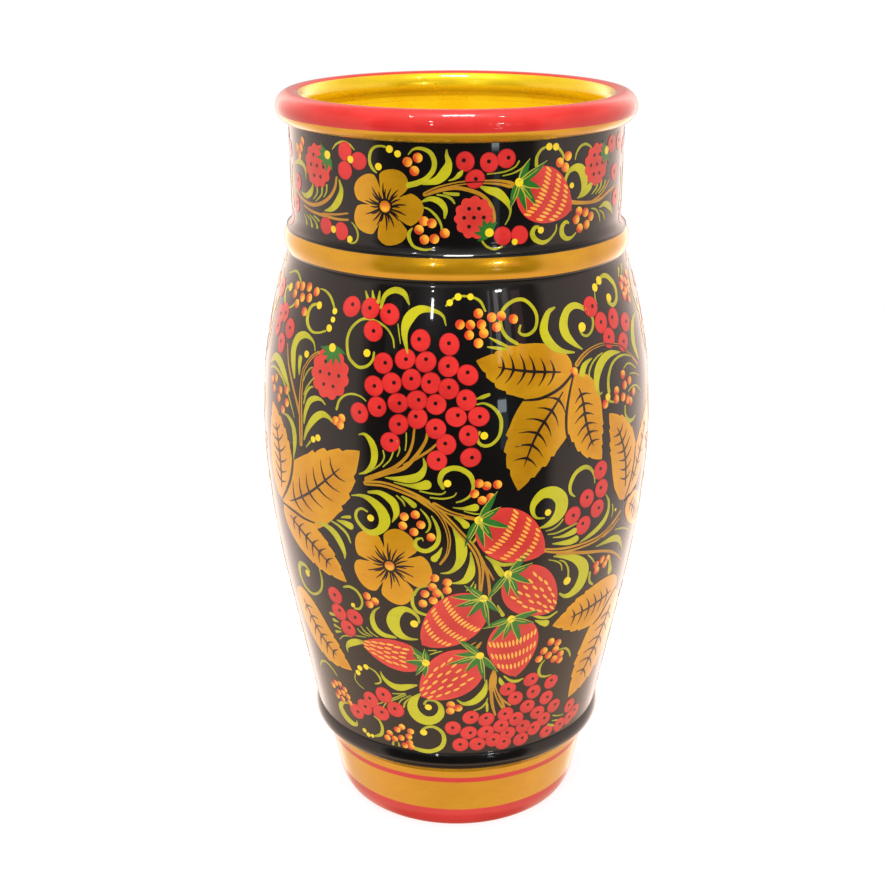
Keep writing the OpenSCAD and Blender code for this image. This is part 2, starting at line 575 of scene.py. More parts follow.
@dataclass
class TurnedPiece:
    """One wooden piece turned on the lathe.

    Attributes:
        node: CAD node that it stands for.
        slot: Material slot of the record.
        section: Closed section in mm, as radius and height.
        ground: Finish of its outside.
        inner: Finish of its inside.
        inner_radius: Faces whose middle is nearer the axis than this, at their height, are inside.
        bands: Painted bands round its outside.
    """

    node: str
    slot: str
    section: list[Point]
    ground: Finish
    inner: Finish
    inner_radius: Callable[[float], float]
    bands: tuple[Band, ...] = ()

    def build(self, lacquerer: Lacquerer) -> bpy.types.Object:
        """Spins the section, lacquers it and puts it in the CAD node's place.

        Args:
            lacquerer: Maker of materials.

        Returns:
            The finished piece.
        """
        piece = self._spin()
        self._mark_inside(piece.data)
        self._unwrap(piece.data)
        name = self.node + "_lacquer"
        piece.data.materials.append(lacquerer.turned(name, self.ground, self.bands, self.inner))
        finish_piece(piece, self.slot)
        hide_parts(self.node)
        return piece

    def _spin(self) -> bpy.types.Object:
        """Stands the section upright and spins it about the axis."""
        deselect_all()
        bpy.ops.mesh.primitive_circle_add(vertices=len(self.section), radius=0.01, fill_type="NOTHING")
        piece = bpy.context.object
        piece.name = piece.data.name = self.node + "_turned"
        piece.location = (0.0, 0.0, 0.0)
        for vertex, (r, z) in zip(piece.data.vertices, self.section):
            vertex.co = (r * MM, 0.0, z * MM)
        bpy.ops.object.mode_set(mode="EDIT")
        bpy.ops.mesh.select_all(action="SELECT")
        bpy.ops.mesh.spin(steps=SPIN_STEPS, angle=2 * math.pi, center=(0, 0, 0), axis=(0, 0, 1))
        bpy.ops.mesh.select_all(action="SELECT")
        bpy.ops.mesh.remove_doubles(threshold=1e-6)
        bpy.ops.mesh.delete_loose(use_verts=True, use_edges=True, use_faces=False)
        bpy.ops.mesh.select_all(action="SELECT")
        bpy.ops.mesh.normals_make_consistent(inside=False)
        bpy.ops.object.mode_set(mode="OBJECT")
        bpy.ops.object.shade_smooth_by_angle(angle=math.radians(32))
        return piece

    def _mark_inside(self, mesh: bpy.types.Mesh) -> None:
        """Marks the faces that line the hollow."""
        mark = mesh.attributes.new("inside", "FLOAT", "FACE")
        for face in mesh.polygons:
            r, z = math.hypot(face.center.x, face.center.y) / MM, face.center.z / MM
            mark.data[face.index].value = 1.0 if r < self.inner_radius(z) else 0.0

    def _unwrap(self, mesh: bpy.types.Mesh) -> None:
        """Unrolls the piece: across is the turn and up is the way along the section."""
        ring = self.section + self.section[:1]
        steps = [math.dist(a, b) for a, b in zip(ring, ring[1:])]
        total = sum(steps)
        along = {}
        run = 0.0
        for (r, z), step in zip(self.section, steps):
            along[(round(r, 2), round(z, 2))] = run / total
            run += step
        co = np.zeros(len(mesh.vertices) * 3)
        mesh.vertices.foreach_get("co", co)
        co = co.reshape(-1, 3)
        turn = (np.arctan2(co[:, 1], co[:, 0]) / (2 * math.pi)) % 1.0
        keys = zip(np.round(np.hypot(co[:, 0], co[:, 1]) / MM, 2), np.round(co[:, 2] / MM, 2))
        up = np.array([nearest(along, key) for key in keys])
        layer = mesh.uv_layers.new(name="OFBake")
        for face in mesh.polygons:
            us = [turn[v] for v in face.vertices]
            vs = [up[v] for v in face.vertices]
            wide, tall = max(us) - min(us) > 0.5, max(vs) - min(vs) > 0.5
            for loop, u, v in zip(face.loop_indices, us, vs):
                layer.data[loop].uv = (u + 1.0 if wide and u < 0.5 else u, v + 1.0 if tall and v < 0.5 else v)


def nearest(table: dict[tuple[float, float], float], key: tuple[float, float]) -> float:
    """Value whose key is the given point, or the one closest to it."""
    found = table.get((float(key[0]), float(key[1])))
    if found is None:
        best = min(table, key=lambda k: (k[0] - key[0]) ** 2 + (k[1] - key[1]) ** 2)
        found = table[best]
    return found


def deselect_all() -> None:
    """Leaves edit mode and deselects every object."""
    if bpy.context.object is not None and bpy.context.object.mode != "OBJECT":
        bpy.ops.object.mode_set(mode="OBJECT")
    bpy.ops.object.select_all(action="DESELECT")


def finish_piece(piece: bpy.types.Object, slot: str) -> None:
    """Rides a piece on the vase's one body and logs its material slot.

    Args:
        piece: The finished piece.
        slot: Material slot of the record.
    """
    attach(piece, "root")
    LOG.info("%s: %d faces, slot %s", piece.name, len(piece.data.polygons), slot)


def above_floor(radius: float) -> Callable[[float], float]:
    """Inside test of the foot: faces nearer the axis than the radius, above the vase's floor."""
    return lambda z: radius if z > 10.5 else 0.0


class TurnedBody:
    """The seven turned pieces of the vase, from the bottom disc up to the rolled rim."""

    def __init__(self, sizes: VaseSizes = SIZES) -> None:
        """Keeps the sizes."""
        self.s = sizes

    def pieces(self) -> list[TurnedPiece]:
        """All the pieces in building order."""
        return [
            self.bottom_disc(),
            self.foot(),
            self.lower_ring(),
            self.barrel(),
            self.shoulder_ring(),
            self.neck(),
            self.rim(),
        ]

    def bottom_disc(self) -> TurnedPiece:
        """Disc let into the foot, with a low step that plugs the foot's hole."""
        under_z, edge_r, step_r, step_z = 2.0, 42.92, 37.92, 12.0
        section = [(0.0, under_z), (42.6, under_z), (edge_r, 2.3), (edge_r, self.s.floor_z)]
        section += [(step_r, self.s.floor_z), (step_r, 11.7), (37.6, step_z), (0.0, step_z)]
        slot, gilded = "foot_lacquer", above_floor(self.s.floor_hole_r)
        return TurnedPiece("bottom_disc", slot, section, VERMILION, GILT_INSIDE_PAINTED_LIGHT, gilded)

    def foot(self) -> TurnedPiece:
        """Gilt foot with a red band at its base and a red line below the bead."""
        s = self.s
        spigot_r, spigot_z, disc_r, steps = 54.0, 50.6, 43.0, 14
        low, flank = (s.foot_side_r, s.foot_edge_z), s.foot_z - s.foot_edge_z
        section = curve((s.foot_base_r, 0.0), low, (9.0, 0.5), (0.5, 9.0), 12)
        section += [(low[0] + 4.7 * i / steps, low[1] + flank * i / steps) for i in range(1, steps)]
        section += [(s.foot_top_r - 0.05, s.foot_z - s.ease), (s.foot_top_r - s.ease, s.foot_z)]
        section += [(spigot_r, s.foot_z), (spigot_r, spigot_z), (s.foot_bore_r, spigot_z)]
        floor_edge, ledge = (s.floor_hole_r, s.floor_z), (s.foot_bore_r, s.foot_z)
        section += curve(floor_edge, ledge, (0, 15.5), (0, 15.5), 10)[::-1]
        section += [(disc_r, s.floor_z), (disc_r, 0.3), (disc_r + 0.3, 0.0)]
        bands = (Band(-1.0, 10.2, VERMILION), Band(25.0, 27.5, VERMILION))
        return TurnedPiece("foot_section", "foot_lacquer", section, GILT, GILT, above_floor(50.0), bands)

    def lower_ring(self) -> TurnedPiece:
        """Black bead on a gilt cove between the foot and the barrel."""
        s = self.s
        cove, crown = (s.cove_r, s.cove_z), (s.crown_r, s.crown_z)
        section = [(s.low_rebate_r, s.foot_z), (s.foot_top_r - s.ease, s.foot_z)]
        section += curve((s.foot_top_r, s.foot_z + s.ease), cove, (0.6, 3.2), (5.0, 1.6), 10)
        section += curve(cove, crown, (2.2, 2.2), (0, 4), 8)[1:]
        section += curve(crown, (s.waist_r, s.bead_z - s.ease), (0, 4), (-2, 2), 8)[1:]
        section += [(s.waist_r - s.ease, s.bead_z), (s.low_rebate_r, s.bead_z)]
        bands = (Band(34.2, 60.0, BLACK),)
        return TurnedPiece("lower_ring", "foot_lacquer", section, GILT, GILT, lambda z: 54.2, bands)

    def barrel(self) -> TurnedPiece:
        """Tall black barrel, gilt inside."""
        s = self.s
        top_z, low_z, gilt_depth = 229.22, 50.68, 4.0
        outer = barrel_outline(s)
        outer[0] = (outer[0][0], outer[0][1] + s.ease)
        outer[-1] = (outer[-1][0], outer[-1][1] - s.ease)
        rise, fall = s.belly_z - low_z, top_z - s.belly_z
        widest = (s.cavity_r, s.belly_z)
        hollow = curve((s.foot_bore_r, low_z), widest, (0.3 * rise, rise), (0, rise), 26)
        hollow += curve(widest, (s.bore_r, top_z), (0, fall), (-0.3667 * fall, fall), 16)[1:]
        section = [(s.low_rebate_r, s.bead_z), (s.waist_r - s.ease, s.bead_z)] + outer
        section += [(s.shoulder_r - s.ease, s.shoulder_z), (s.high_rebate_r, s.shoulder_z)]
        section += [(s.high_rebate_r, top_z)] + hollow[::-1] + [(s.low_rebate_r, low_z)]
        skin = Skin(barrel_outline(s))

        def gilded(z: float) -> float:
            """Radius inside which the barrel is gilt at a height."""
            return float(skin.radius(z)) - gilt_depth

        return TurnedPiece("barrel_section", "black_lacquer", section, BLACK, GILT_INSIDE_PAINTED_LIGHT, gilded)

    def shoulder_ring(self) -> TurnedPiece:
        """Swelling gilt ring edged with black where the barrel meets the neck."""
        s = self.s
        inner, swell, steps = s.high_rebate_r, 1.35, 16
        section = [(inner, s.shoulder_z), (s.shoulder_r - s.ease, s.shoulder_z)]
        for i in range(steps + 1):
            t = i / steps
            z = s.shoulder_z + s.ease + (s.neck_z - s.shoulder_z - 2 * s.ease) * t
            section.append((s.shoulder_r + swell * math.sin(math.pi * t), z))
        section += [(s.shoulder_r - s.ease, s.neck_z), (inner, s.neck_z)]
        bands = (Band(239.6, 247.6, GILT),)
        return TurnedPiece("shoulder_ring", "gilt_lacquer", section, BLACK, GILT, lambda z: 62.2, bands)

    def neck(self) -> TurnedPiece:
        """Black neck, gilt inside, with a spigot below and a tongue above."""
        s = self.s
        low_z, spigot_r, tongue_z, tongue_out, tongue_in = 229.3, 62.0, 291.3, 63.4, 60.4
        outer = neck_outline(s)
        outer[0] = (outer[0][0], outer[0][1] + s.ease)
        section = [(s.bore_r, low_z), (spigot_r, low_z), (spigot_r, s.neck_z)]
        section += [(s.shoulder_r - s.ease, s.neck_z)]
        section += outer + [(tongue_out, s.mouth_z), (tongue_out, tongue_z)]
        section += [(tongue_in, tongue_z), (tongue_in, s.mouth_z)]
        section += [(s.bore_r, s.mouth_z - 10.0 * i) for i in range(6)]
        return TurnedPiece("neck_section", "black_lacquer", section, BLACK, GILT_INSIDE_PAINTED_LIGHT, lambda z: 59.0)

    def rim(self) -> TurnedPiece:
        """Rolled rim, red over its crown and gilt below and inside."""
        s = self.s
        collar_out, collar_in, groove_out, groove_in, groove_z = 65.3, 59.13, 63.48, 60.32, 291.38
        start = -math.degrees(math.acos((collar_out - s.rim_centre[0]) / s.rim_tube))
        end = 360.0 - math.degrees(math.acos((collar_in - s.rim_centre[0]) / s.rim_tube))
        section = [(collar_in, s.mouth_z), (groove_in, s.mouth_z), (groove_in, groove_z)]
        section += [(groove_out, groove_z), (groove_out, s.mouth_z), (collar_out - 0.1, s.mouth_z)]
        section += arc(s.rim_centre, s.rim_tube, start, end, 56)
        bands = (Band(292.4, 301.0, VERMILION),)
        return TurnedPiece("rim_ring", "red_lacquer", section, GILT, GILT_INSIDE_PAINTED_LIGHT, lambda z: 61.4, bands)

    def build(self, lacquerer: Lacquerer) -> None:
        """Builds every turned piece.

        Args:
            lacquerer: Maker of materials.
        """
        for piece in self.pieces():
            piece.build(lacquerer)


# ---------------------------------------------------------------- patches of paint


@dataclass
class Patch:
    """A patch of paint on the unrolled skin.

    Attributes:
        points: Points in mm, across and up, one row each.
        faces: Faces as point numbers, turning left.
        blush: Tone of each point, 1 light and 0 deep.
    """

    points: np.ndarray
    faces: list[tuple[int, ...]]
    blush: np.ndarray


def smooth_path(stations: np.ndarray, spacing: float) -> np.ndarray:
    """Runs a smooth line through stations.

    Args:
        stations: One row each: across and up in mm, half width in mm.
        spacing: Wanted distance between the returned rows in mm.

    Returns:
        Rows of the same kind, evenly close together.
    """
    if len(stations) < 3:
        stations = np.array([stations[0], (stations[0] + stations[-1]) / 2, stations[-1]])
    ends = np.vstack((2 * stations[0] - stations[1], stations, 2 * stations[-1] - stations[-2]))
    rows = []
    for p0, p1, p2, p3 in zip(ends, ends[1:], ends[2:], ends[3:]):
        span = float(np.hypot(*(p2 - p1)[:2]))
        steps = max(1, math.ceil(span / spacing))
        for i in range(steps):
            t = i / steps
            square, cube = 2 * p0 - 5 * p1 + 4 * p2 - p3, 3 * p1 - p0 - 3 * p2 + p3
            rows.append(0.5 * (2 * p1 + (p2 - p0) * t + square * t**2 + cube * t**3))
    rows.append(stations[-1])
    return np.array(rows)


def ribbon(path: np.ndarray, columns: int, blush: Callable[[float, float, float], float]) -> Patch:
    """Patch that follows a line.

    Args:
        path: Rows of across, up and half width in mm.
        columns: How many points lie across the ribbon.
        blush: Tone from the share along, the share across (-1 to 1) and the half width.

    Returns:
        The patch.
    """
    path = path.copy()
    path[:, 2] = np.maximum(path[:, 2], 0.06)
    ahead = np.gradient(path[:, :2], axis=0)
    ahead /= np.maximum(np.hypot(ahead[:, 0], ahead[:, 1]), 1e-9)[:, None]
    rows = [(p, a) for p, a in zip(path, ahead)]
    rows = _rounded(rows[0], -1.0)[::-1] + rows + _rounded(rows[-1], 1.0)
    side = np.linspace(-1.0, 1.0, columns)
    points, tones = [], []
    for i, (row, way) in enumerate(rows):
        left = np.array((-way[1], way[0]))
        for s in side:
            points.append(row[:2] + left * row[2] * s)
            tones.append(blush(i / (len(rows) - 1), s, row[2]))
    return Patch(np.array(points), grid_faces(len(rows), columns), np.clip(tones, 0.0, 1.0))


def grid_faces(rows: int, columns: int) -> list[tuple[int, ...]]:
    """Faces of a grid of points that is numbered row by row."""
    corners = [i * columns + j for i in range(rows - 1) for j in range(columns - 1)]
    return [(a, a + columns, a + columns + 1, a + 1) for a in corners]


def _rounded(row: tuple[np.ndarray, np.ndarray], way: float) -> list[tuple[np.ndarray, np.ndarray]]:
    """Rows that round off a blunt end of a ribbon."""
    place, ahead = row
    if place[2] < 0.25:
        return []
    extra = []
    for angle in (35.0, 65.0, 86.0):
        reach, width = math.sin(math.radians(angle)), math.cos(math.radians(angle))
        middle = place[:2] + ahead * place[2] * reach * way
        extra.append((np.array((*middle, place[2] * width)), ahead))
    return extra


def blob(
    radius: Callable[[float], float],
    sectors: int = 16,
    rings: Sequence[float] = (0.55, 1.0),
    blush: Callable[[float, float], float] = lambda share, turn: 0.75,
) -> Patch:
    """Patch round a point.

    Args:
        radius: Radius in mm from the turn in radians, 0 to the right and growing leftwards.
        sectors: How many points lie on each ring.
        rings: Rings as shares of the radius.
        blush: Tone from the share of the radius and the turn.

    Returns:
        The patch about (0, 0).
    """
    turns = [2 * math.pi * i / sectors for i in range(sectors)]
    points, tones = [(0.0, 0.0)], [blush(0.0, 0.0)]
    for share in rings:
        for turn in turns:
            r = radius(turn) * share
            points.append((r * math.cos(turn), r * math.sin(turn)))
            tones.append(blush(share, turn))
    faces: list[tuple[int, ...]] = [(0, 1 + i, 1 + (i + 1) % sectors) for i in range(sectors)]
    for ring in range(len(rings) - 1):
        near, far = 1 + ring * sectors, 1 + (ring + 1) * sectors
        for i in range(sectors):
            j = (i + 1) % sectors
            faces.append((near + i, far + i, far + j, near + j))
    return Patch(np.array(points), faces, np.clip(tones, 0.0, 1.0))


class Film:
    """One colour of paint on one skin, gathered patch by patch and laid as one closed film."""

    thickness_mm = 0.2
    stagger_mm = 0.004
    seam = -136.0

    def __init__(self, name: str, slot: str, finish: Finish, skin: Skin, lift: float) -> None:
        """Starts an empty film.

        Args:
            name: Name of the finished piece.
            slot: Material slot of the record.
            finish: Its finish.
            skin: The skin it follows.
            lift: How far its face stands above the skin in mm.
        """
        self.name, self.slot, self.finish, self.skin, self.lift = name, slot, finish, skin, lift
        self.points: list[np.ndarray] = []
        self.blush: list[np.ndarray] = []
        self.across: list[np.ndarray] = []
        self.up: list[np.ndarray] = []
        self.faces: list[tuple[int, ...]] = []
        self.count = 0
        self.patches = 0

    def scale(self, height: float) -> float:
        """Length in mm of one degree round the skin at a height."""
        return float(self.skin.radius(height)) * math.pi / 180

    def add(self, patch: Patch, angle: float, height: float, turns: Sequence[float]) -> None:
        """Adds a patch whose own (0, 0) sits at an angle and a height.

        Args:
            patch: The patch, in mm.
            angle: Angle of its (0, 0) in degrees.
            height: Height of its (0, 0) in mm.
            turns: Turns round the vase in degrees at which it is repeated.
        """
        scale = self.scale(height)
        heights = patch.points[:, 1] + height
        for turn in turns:
            middle = (angle + turn - self.seam) % 360.0 + self.seam
            angles = middle + patch.points[:, 0] / scale
            lifts = np.full(len(angles), self.lift + self.stagger_mm * (self.patches % 7))
            self.points.append(self.skin.wrap(angles, heights, lifts))
            self.blush.append(patch.blush)
            self.across.append(0.05 + 0.90 * (angles - self.seam) / 360.0)
            self.up.append(heights)
            self.faces.extend(tuple(v + self.count for v in face) for face in patch.faces)
            self.count += len(angles)
        self.patches += 1

    def lay(self, lacquerer: Lacquerer) -> bpy.types.Object | None:
        """Turns the gathered patches into one closed piece.

        Args:
            lacquerer: Maker of materials.

        Returns:
            The piece, or nothing when no patch was added.
        """
        if not self.points:
            return None
        mesh = bpy.data.meshes.new(self.name)
        mesh.from_pydata(np.vstack(self.points).tolist(), [], self.faces)
        tone = mesh.attributes.new("blush", "FLOAT", "POINT")
        tone.data.foreach_set("value", np.concatenate(self.blush))
        self._unroll(mesh)
        piece = bpy.data.objects.new(self.name, mesh)
        bpy.context.scene.collection.objects.link(piece)
        deselect_all()
        piece.select_set(True)
        bpy.context.view_layer.objects.active = piece
        body = piece.modifiers.new("film", "SOLIDIFY")
        body.thickness = self.thickness_mm * MM
        body.offset = -1.0
        body.use_even_offset = False
        bpy.ops.object.modifier_apply(modifier=body.name)
        bpy.ops.object.shade_smooth_by_angle(angle=math.radians(40))
        piece.data.materials.append(lacquerer.paint(self.name.split("_", 1)[1] + "_paint", self.finish))
        finish_piece(piece, self.slot)
        return piece

    def _unroll(self, mesh: bpy.types.Mesh) -> None:
        """Unrolls the film: across is the turn and up is the height."""
        u, v = np.concatenate(self.across), np.concatenate(self.up)
        low, high = float(v.min()), float(v.max())
        v = 0.02 + 0.96 * (v - low) / (high - low)
        corner = np.zeros(len(mesh.loops), dtype=np.int32)
        mesh.loops.foreach_get("vertex_index", corner)
        layer = mesh.uv_layers.new(name="OFBake")
        layer.data.foreach_set("uv", np.column_stack((u[corner], v[corner])).ravel())


# ---------------------------------------------------------------- motifs of the ornament


class Paint(Enum):
    """Films of paint from the lowest to the highest: name, slot, finish and lift in mm."""

    STEM = ("stems", "paint_gold", STEM_OCHRE, 0.050)
    LEAF = ("leaves", "paint_gold", LEAF_GOLD, 0.060)
    CURL = ("curls", "paint_green", LIME, 0.070)
    FLOWER = ("flowers", "paint_gold", LEAF_GOLD, 0.075)
    BERRY = ("berries", "paint_red", BERRY_RED, 0.080)
    FRUIT = ("fruit", "paint_red", FRUIT_RED, 0.085)
    BUD = ("buds", "paint_red", BUD_BLUSH, 0.090)
    CALYX = ("calyxes", "paint_green", CALYX_GREEN, 0.110)
    VEIN = ("leaf_veins", "paint_dark", UMBER, 0.120)
    PETAL_LINE = ("flower_strokes", "paint_dark", UMBER, 0.120)
    SEED = ("seeds", "paint_yellow", SEED_YELLOW, 0.125)
    PIP = ("fruit_dots", "paint_dark", UMBER, 0.125)
    CALYX_LINE = ("calyx_lines", "paint_yellow", LINE_LIME, 0.135)
    EYE = ("berry_eyes", "paint_dark", UMBER, 0.130)
    DOT = ("dots", "paint_yellow", DOT_YELLOW, 0.140)


def vein_tone(_along: float, _across: float, _width: float) -> float:
    """Tone of a leaf's veins, even all over."""
    return 0.4


def brush_tone(_along: float, _across: float, width: float) -> float:
    """Tone of a brush stroke, lighter where it is broad."""
    return min(1.0, 0.25 + 0.55 * width)


class Painter:
    """Paints motifs on one skin."""

    def __init__(self, prefix: str, skin: Skin) -> None:
        """Opens the paints.

        Args:
            prefix: First word of the films' names.
            skin: The skin to paint on.
        """
        self.films: dict[Paint, Film] = {}
        for paint in Paint:
            word, slot, finish, lift = paint.value
            self.films[paint] = Film(f"{prefix}_{word}", slot, finish, skin, lift)
        self.turns: tuple[float, ...] = FRONT_AND_BACK
        self.tally = 0

    def scale(self, height: float) -> float:
        """Length in mm of one degree round the skin at a height."""
        return self.films[Paint.STEM].scale(height)

    def put(self, paint: Paint, patch: Patch, angle: float, height: float) -> None:
        """Puts a patch of a paint at an angle and a height."""
        self.films[paint].add(patch, angle, height, self.turns)

    def dab(self, paint: Paint, angle: float, height: float, radius: float, tone: float = 0.8) -> None:
        """Puts a round dab.

        Args:
            paint: Which paint.
            angle: Angle in degrees.
            height: Height in mm.
            radius: Radius in mm.
            tone: Its tone, 1 light and 0 deep.
        """
        small = radius < 1.2
        sectors, rings = (10, (1.0,)) if small else (16, (0.6, 1.0))
        self.put(paint, blob(lambda turn: radius, sectors, rings, lambda share, turn: tone), angle, height)

    def stroke(self, paint: Paint, path: Sequence[Station], columns: int = 3, spacing: float = 1.2) -> None:
        """Draws a brush stroke.

        Args:
            paint: Which paint.
            path: Stations of angle, height and half width.
            columns: How many points lie across it.
            spacing: Distance between its rows in mm.
        """
        height = sum(p[1] for p in path) / len(path)
        scale = self.scale(height)
        line = np.array([(a * scale, z - height, w) for a, z, w in path])
        line = smooth_path(line, spacing)
        first = path[0][0]
        line[:, 0] -= first * scale
        self.put(paint, ribbon(line, columns, brush_tone), first, height)

    def line_mm(
        self, paint: Paint, angle: float, height: float, path: Sequence[Station], columns: int = 3
    ) -> None:
        """Draws a stroke given in mm about a point.

        Args:
            paint: Which paint.
            angle: Angle of the point in degrees.
            height: Height of the point in mm.
            path: Stations of across, up and half width in mm.
            columns: How many points lie across it.
        """
        line = smooth_path(np.array(path), 1.0)
        self.put(paint, ribbon(line, columns, brush_tone), angle, height)

    def lay(self, lacquerer: Lacquerer) -> None:
        """Lays every film that holds paint.

        Args:
            lacquerer: Maker of materials.
        """
        for film in self.films.values():
            film.lay(lacquerer)


def turned_by(points: Iterable[Sequence[float]], degrees: float) -> list[tuple[float, ...]]:
    """Turns points about (0, 0), leaving further numbers of each as they are.

    Args:
        points: Points of across, up and any further numbers.
        degrees: Turn to the left in degrees.

    Returns:
        The turned points.
    """
    c, s = math.cos(math.radians(degrees)), math.sin(math.radians(degrees))
    return [(p[0] * c - p[1] * s, p[0] * s + p[1] * c, *p[2:]) for p in points]


@dataclass(frozen=True)
class Berry:
    """Round red berry with a dark eye.

    Attributes:
        angle: Angle of its middle in degrees.
        height: Height of its middle in mm.
        radius: Radius in mm.
        eye: Radius of its eye in mm, or 0 for none.
    """

    angle: float
    height: float
    radius: float = 3.85
    eye: float = 0.75

    def paint(self, painter: Painter) -> None:
        """Paints the berry.

        Args:
            painter: Painter of the skin it is on.
        """
        painter.tally += 1
        n = painter.tally
        squash, lean = 1.0 + 0.05 * math.sin(n * 2.1), n * 1.7
        body = blob(
            lambda turn: self.radius * (1 + (squash - 1) * math.cos(2 * (turn - lean))),
            20,
            (0.55, 0.86, 1.0),
            lambda share, turn: 0.20 if share > 0.95 else 0.92 + 0.20 * share * math.cos(turn - 1.2),
        )
        painter.put(Paint.BERRY, body, self.angle, self.height)
        if self.eye:
            way = math.radians(70 + 75 * math.sin(n * 1.3))
            reach = (0.16 + 0.10 * math.sin(n * 2.9)) * self.radius
            across = self.angle + reach * math.cos(way) / painter.scale(self.height)
            painter.dab(Paint.EYE, across, self.height + reach * math.sin(way), self.eye, 0.5)


@dataclass(frozen=True)
class Bud:
    """Tiny berry that blushes from yellow to red."""

    angle: float
    height: float
    radius: float = 1.75

    def paint(self, painter: Painter) -> None:
        """Paints the bud.

        Args:
            painter: Painter of the skin it is on.
        """
        painter.tally += 1
        lean = math.radians(10 + 45 * math.sin(painter.tally * 1.9))
        body = blob(
            lambda turn: self.radius,
            14,
            (0.5, 1.0),
            lambda share, turn: 0.62 + 0.95 * share * math.cos(turn - lean) - 0.40 * share,
        )
        painter.put(Paint.BUD, body, self.angle, self.height)


@dataclass(frozen=True)
class Leaf:
    """Broad leaf with a few hooked teeth near its tip and dark veins.

    Attributes:
        spine: Angle and height of points from the base to the tip.
        half_width: Half of its greatest width in mm.
        veins: How many pairs of side veins it has.
        teeth: Where its teeth are, as shares of the way to the tip.
    """

    spine: tuple[Point, ...]
    half_width: float
    veins: int = 6
    teeth: tuple[float, ...] = (0.64, 0.75, 0.86)

    def _width(self, share: float, side: float) -> float:
        """Half width at a share of the way to the tip, on the left (1) or the right (-1)."""
        body = math.sin(math.pi * min(0.74, share) ** 0.74) ** 0.60
        if share > 0.74:
            body = math.sin(math.pi * 0.74**0.74) ** 0.60 * ((1.0 - share) / 0.26) ** 0.86
        reach = body * self.half_width
        for tooth in self.teeth:
            ahead = share - tooth - 0.02 * side
            if -0.06 < ahead <= 0:
                reach += 0.052 * self.half_width * (1 + ahead / 0.06)
            elif 0 < ahead < 0.04:
                reach -= 0.062 * self.half_width * (1 - ahead / 0.04)
        return max(0.05, reach)

    def paint(self, painter: Painter) -> None:
        """Paints the leaf and its veins.

        Args:
            painter: Painter of the skin it is on.
        """
        height = sum(p[1] for p in self.spine) / len(self.spine)
        scale = painter.scale(height)
        first = self.spine[0][0]
        line = smooth_path(np.array([((a - first) * scale, z - height, 1.0) for a, z in self.spine]), 0.55)
        ahead = np.gradient(line[:, :2], axis=0)
        ahead /= np.maximum(np.hypot(ahead[:, 0], ahead[:, 1]), 1e-9)[:, None]
        run = np.concatenate(([0.0], np.cumsum(np.hypot(*np.diff(line[:, :2], axis=0).T))))
        share = run / run[-1]
        columns = np.linspace(-1.0, 1.0, 11)
        points, tones = [], []
        for place, way, part in zip(line[:, :2], ahead, share):
            left = np.array((-way[1], way[0]))
            for side in columns:
                points.append(place + left * side * self._width(part, math.copysign(1.0, side)))
                tones.append(0.50 + 0.45 * abs(side) ** 1.5 - 0.10 * part)
        faces = grid_faces(len(line), len(columns))
        painter.put(Paint.LEAF, Patch(np.array(points), faces, np.clip(tones, 0.0, 1.0)), first, height)
        self._veins(painter, line, ahead, share, first, height)

    def _veins(
        self,
        painter: Painter,
        line: np.ndarray,
        ahead: np.ndarray,
        share: np.ndarray,
        first: float,
        height: float,
    ) -> None:
        """Draws the midrib and the side veins.

        Args:
            painter: Painter of the skin it is on.
            line: Rows of the leaf's middle line in mm.
            ahead: Direction of the line at each row.
            share: Share of the way to the tip at each row.
            first: Angle of the leaf's base in degrees.
            height: Middle height of the leaf in mm.
        """
        inner = (share > 0.13) & (share < 0.80)
        rib = line[inner].copy()
        rib[:, 2] = 0.10 + 0.42 * np.sin(np.linspace(0.25, math.pi, len(rib))) ** 0.8
        painter.put(Paint.VEIN, ribbon(rib[::2], 3, vein_tone), first, height)
        for k in range(self.veins):
            part = 0.20 + 0.52 * k / max(1, self.veins - 1)
            at = int(np.searchsorted(share, part))
            for side in (-1.0, 1.0):
                reach = self._width(part, side) * (0.60 - 0.16 * abs(part - 0.45))
                reach *= 1.0 + 0.10 * math.sin(5.0 * k + side)
                way, left = ahead[at], np.array((-ahead[at][1], ahead[at][0])) * side
                root = line[at, :2]
                elbow = root + way * reach * 0.16 + left * reach * 0.50
                tip = root + way * reach * 0.44 + left * reach * 0.93
                rows = [(*root, 0.58), (*elbow, 0.30), (*tip, 0.06)]
                vein = ribbon(smooth_path(np.array(rows), 1.2), 3, vein_tone)
                painter.put(Paint.VEIN, vein, first, height)


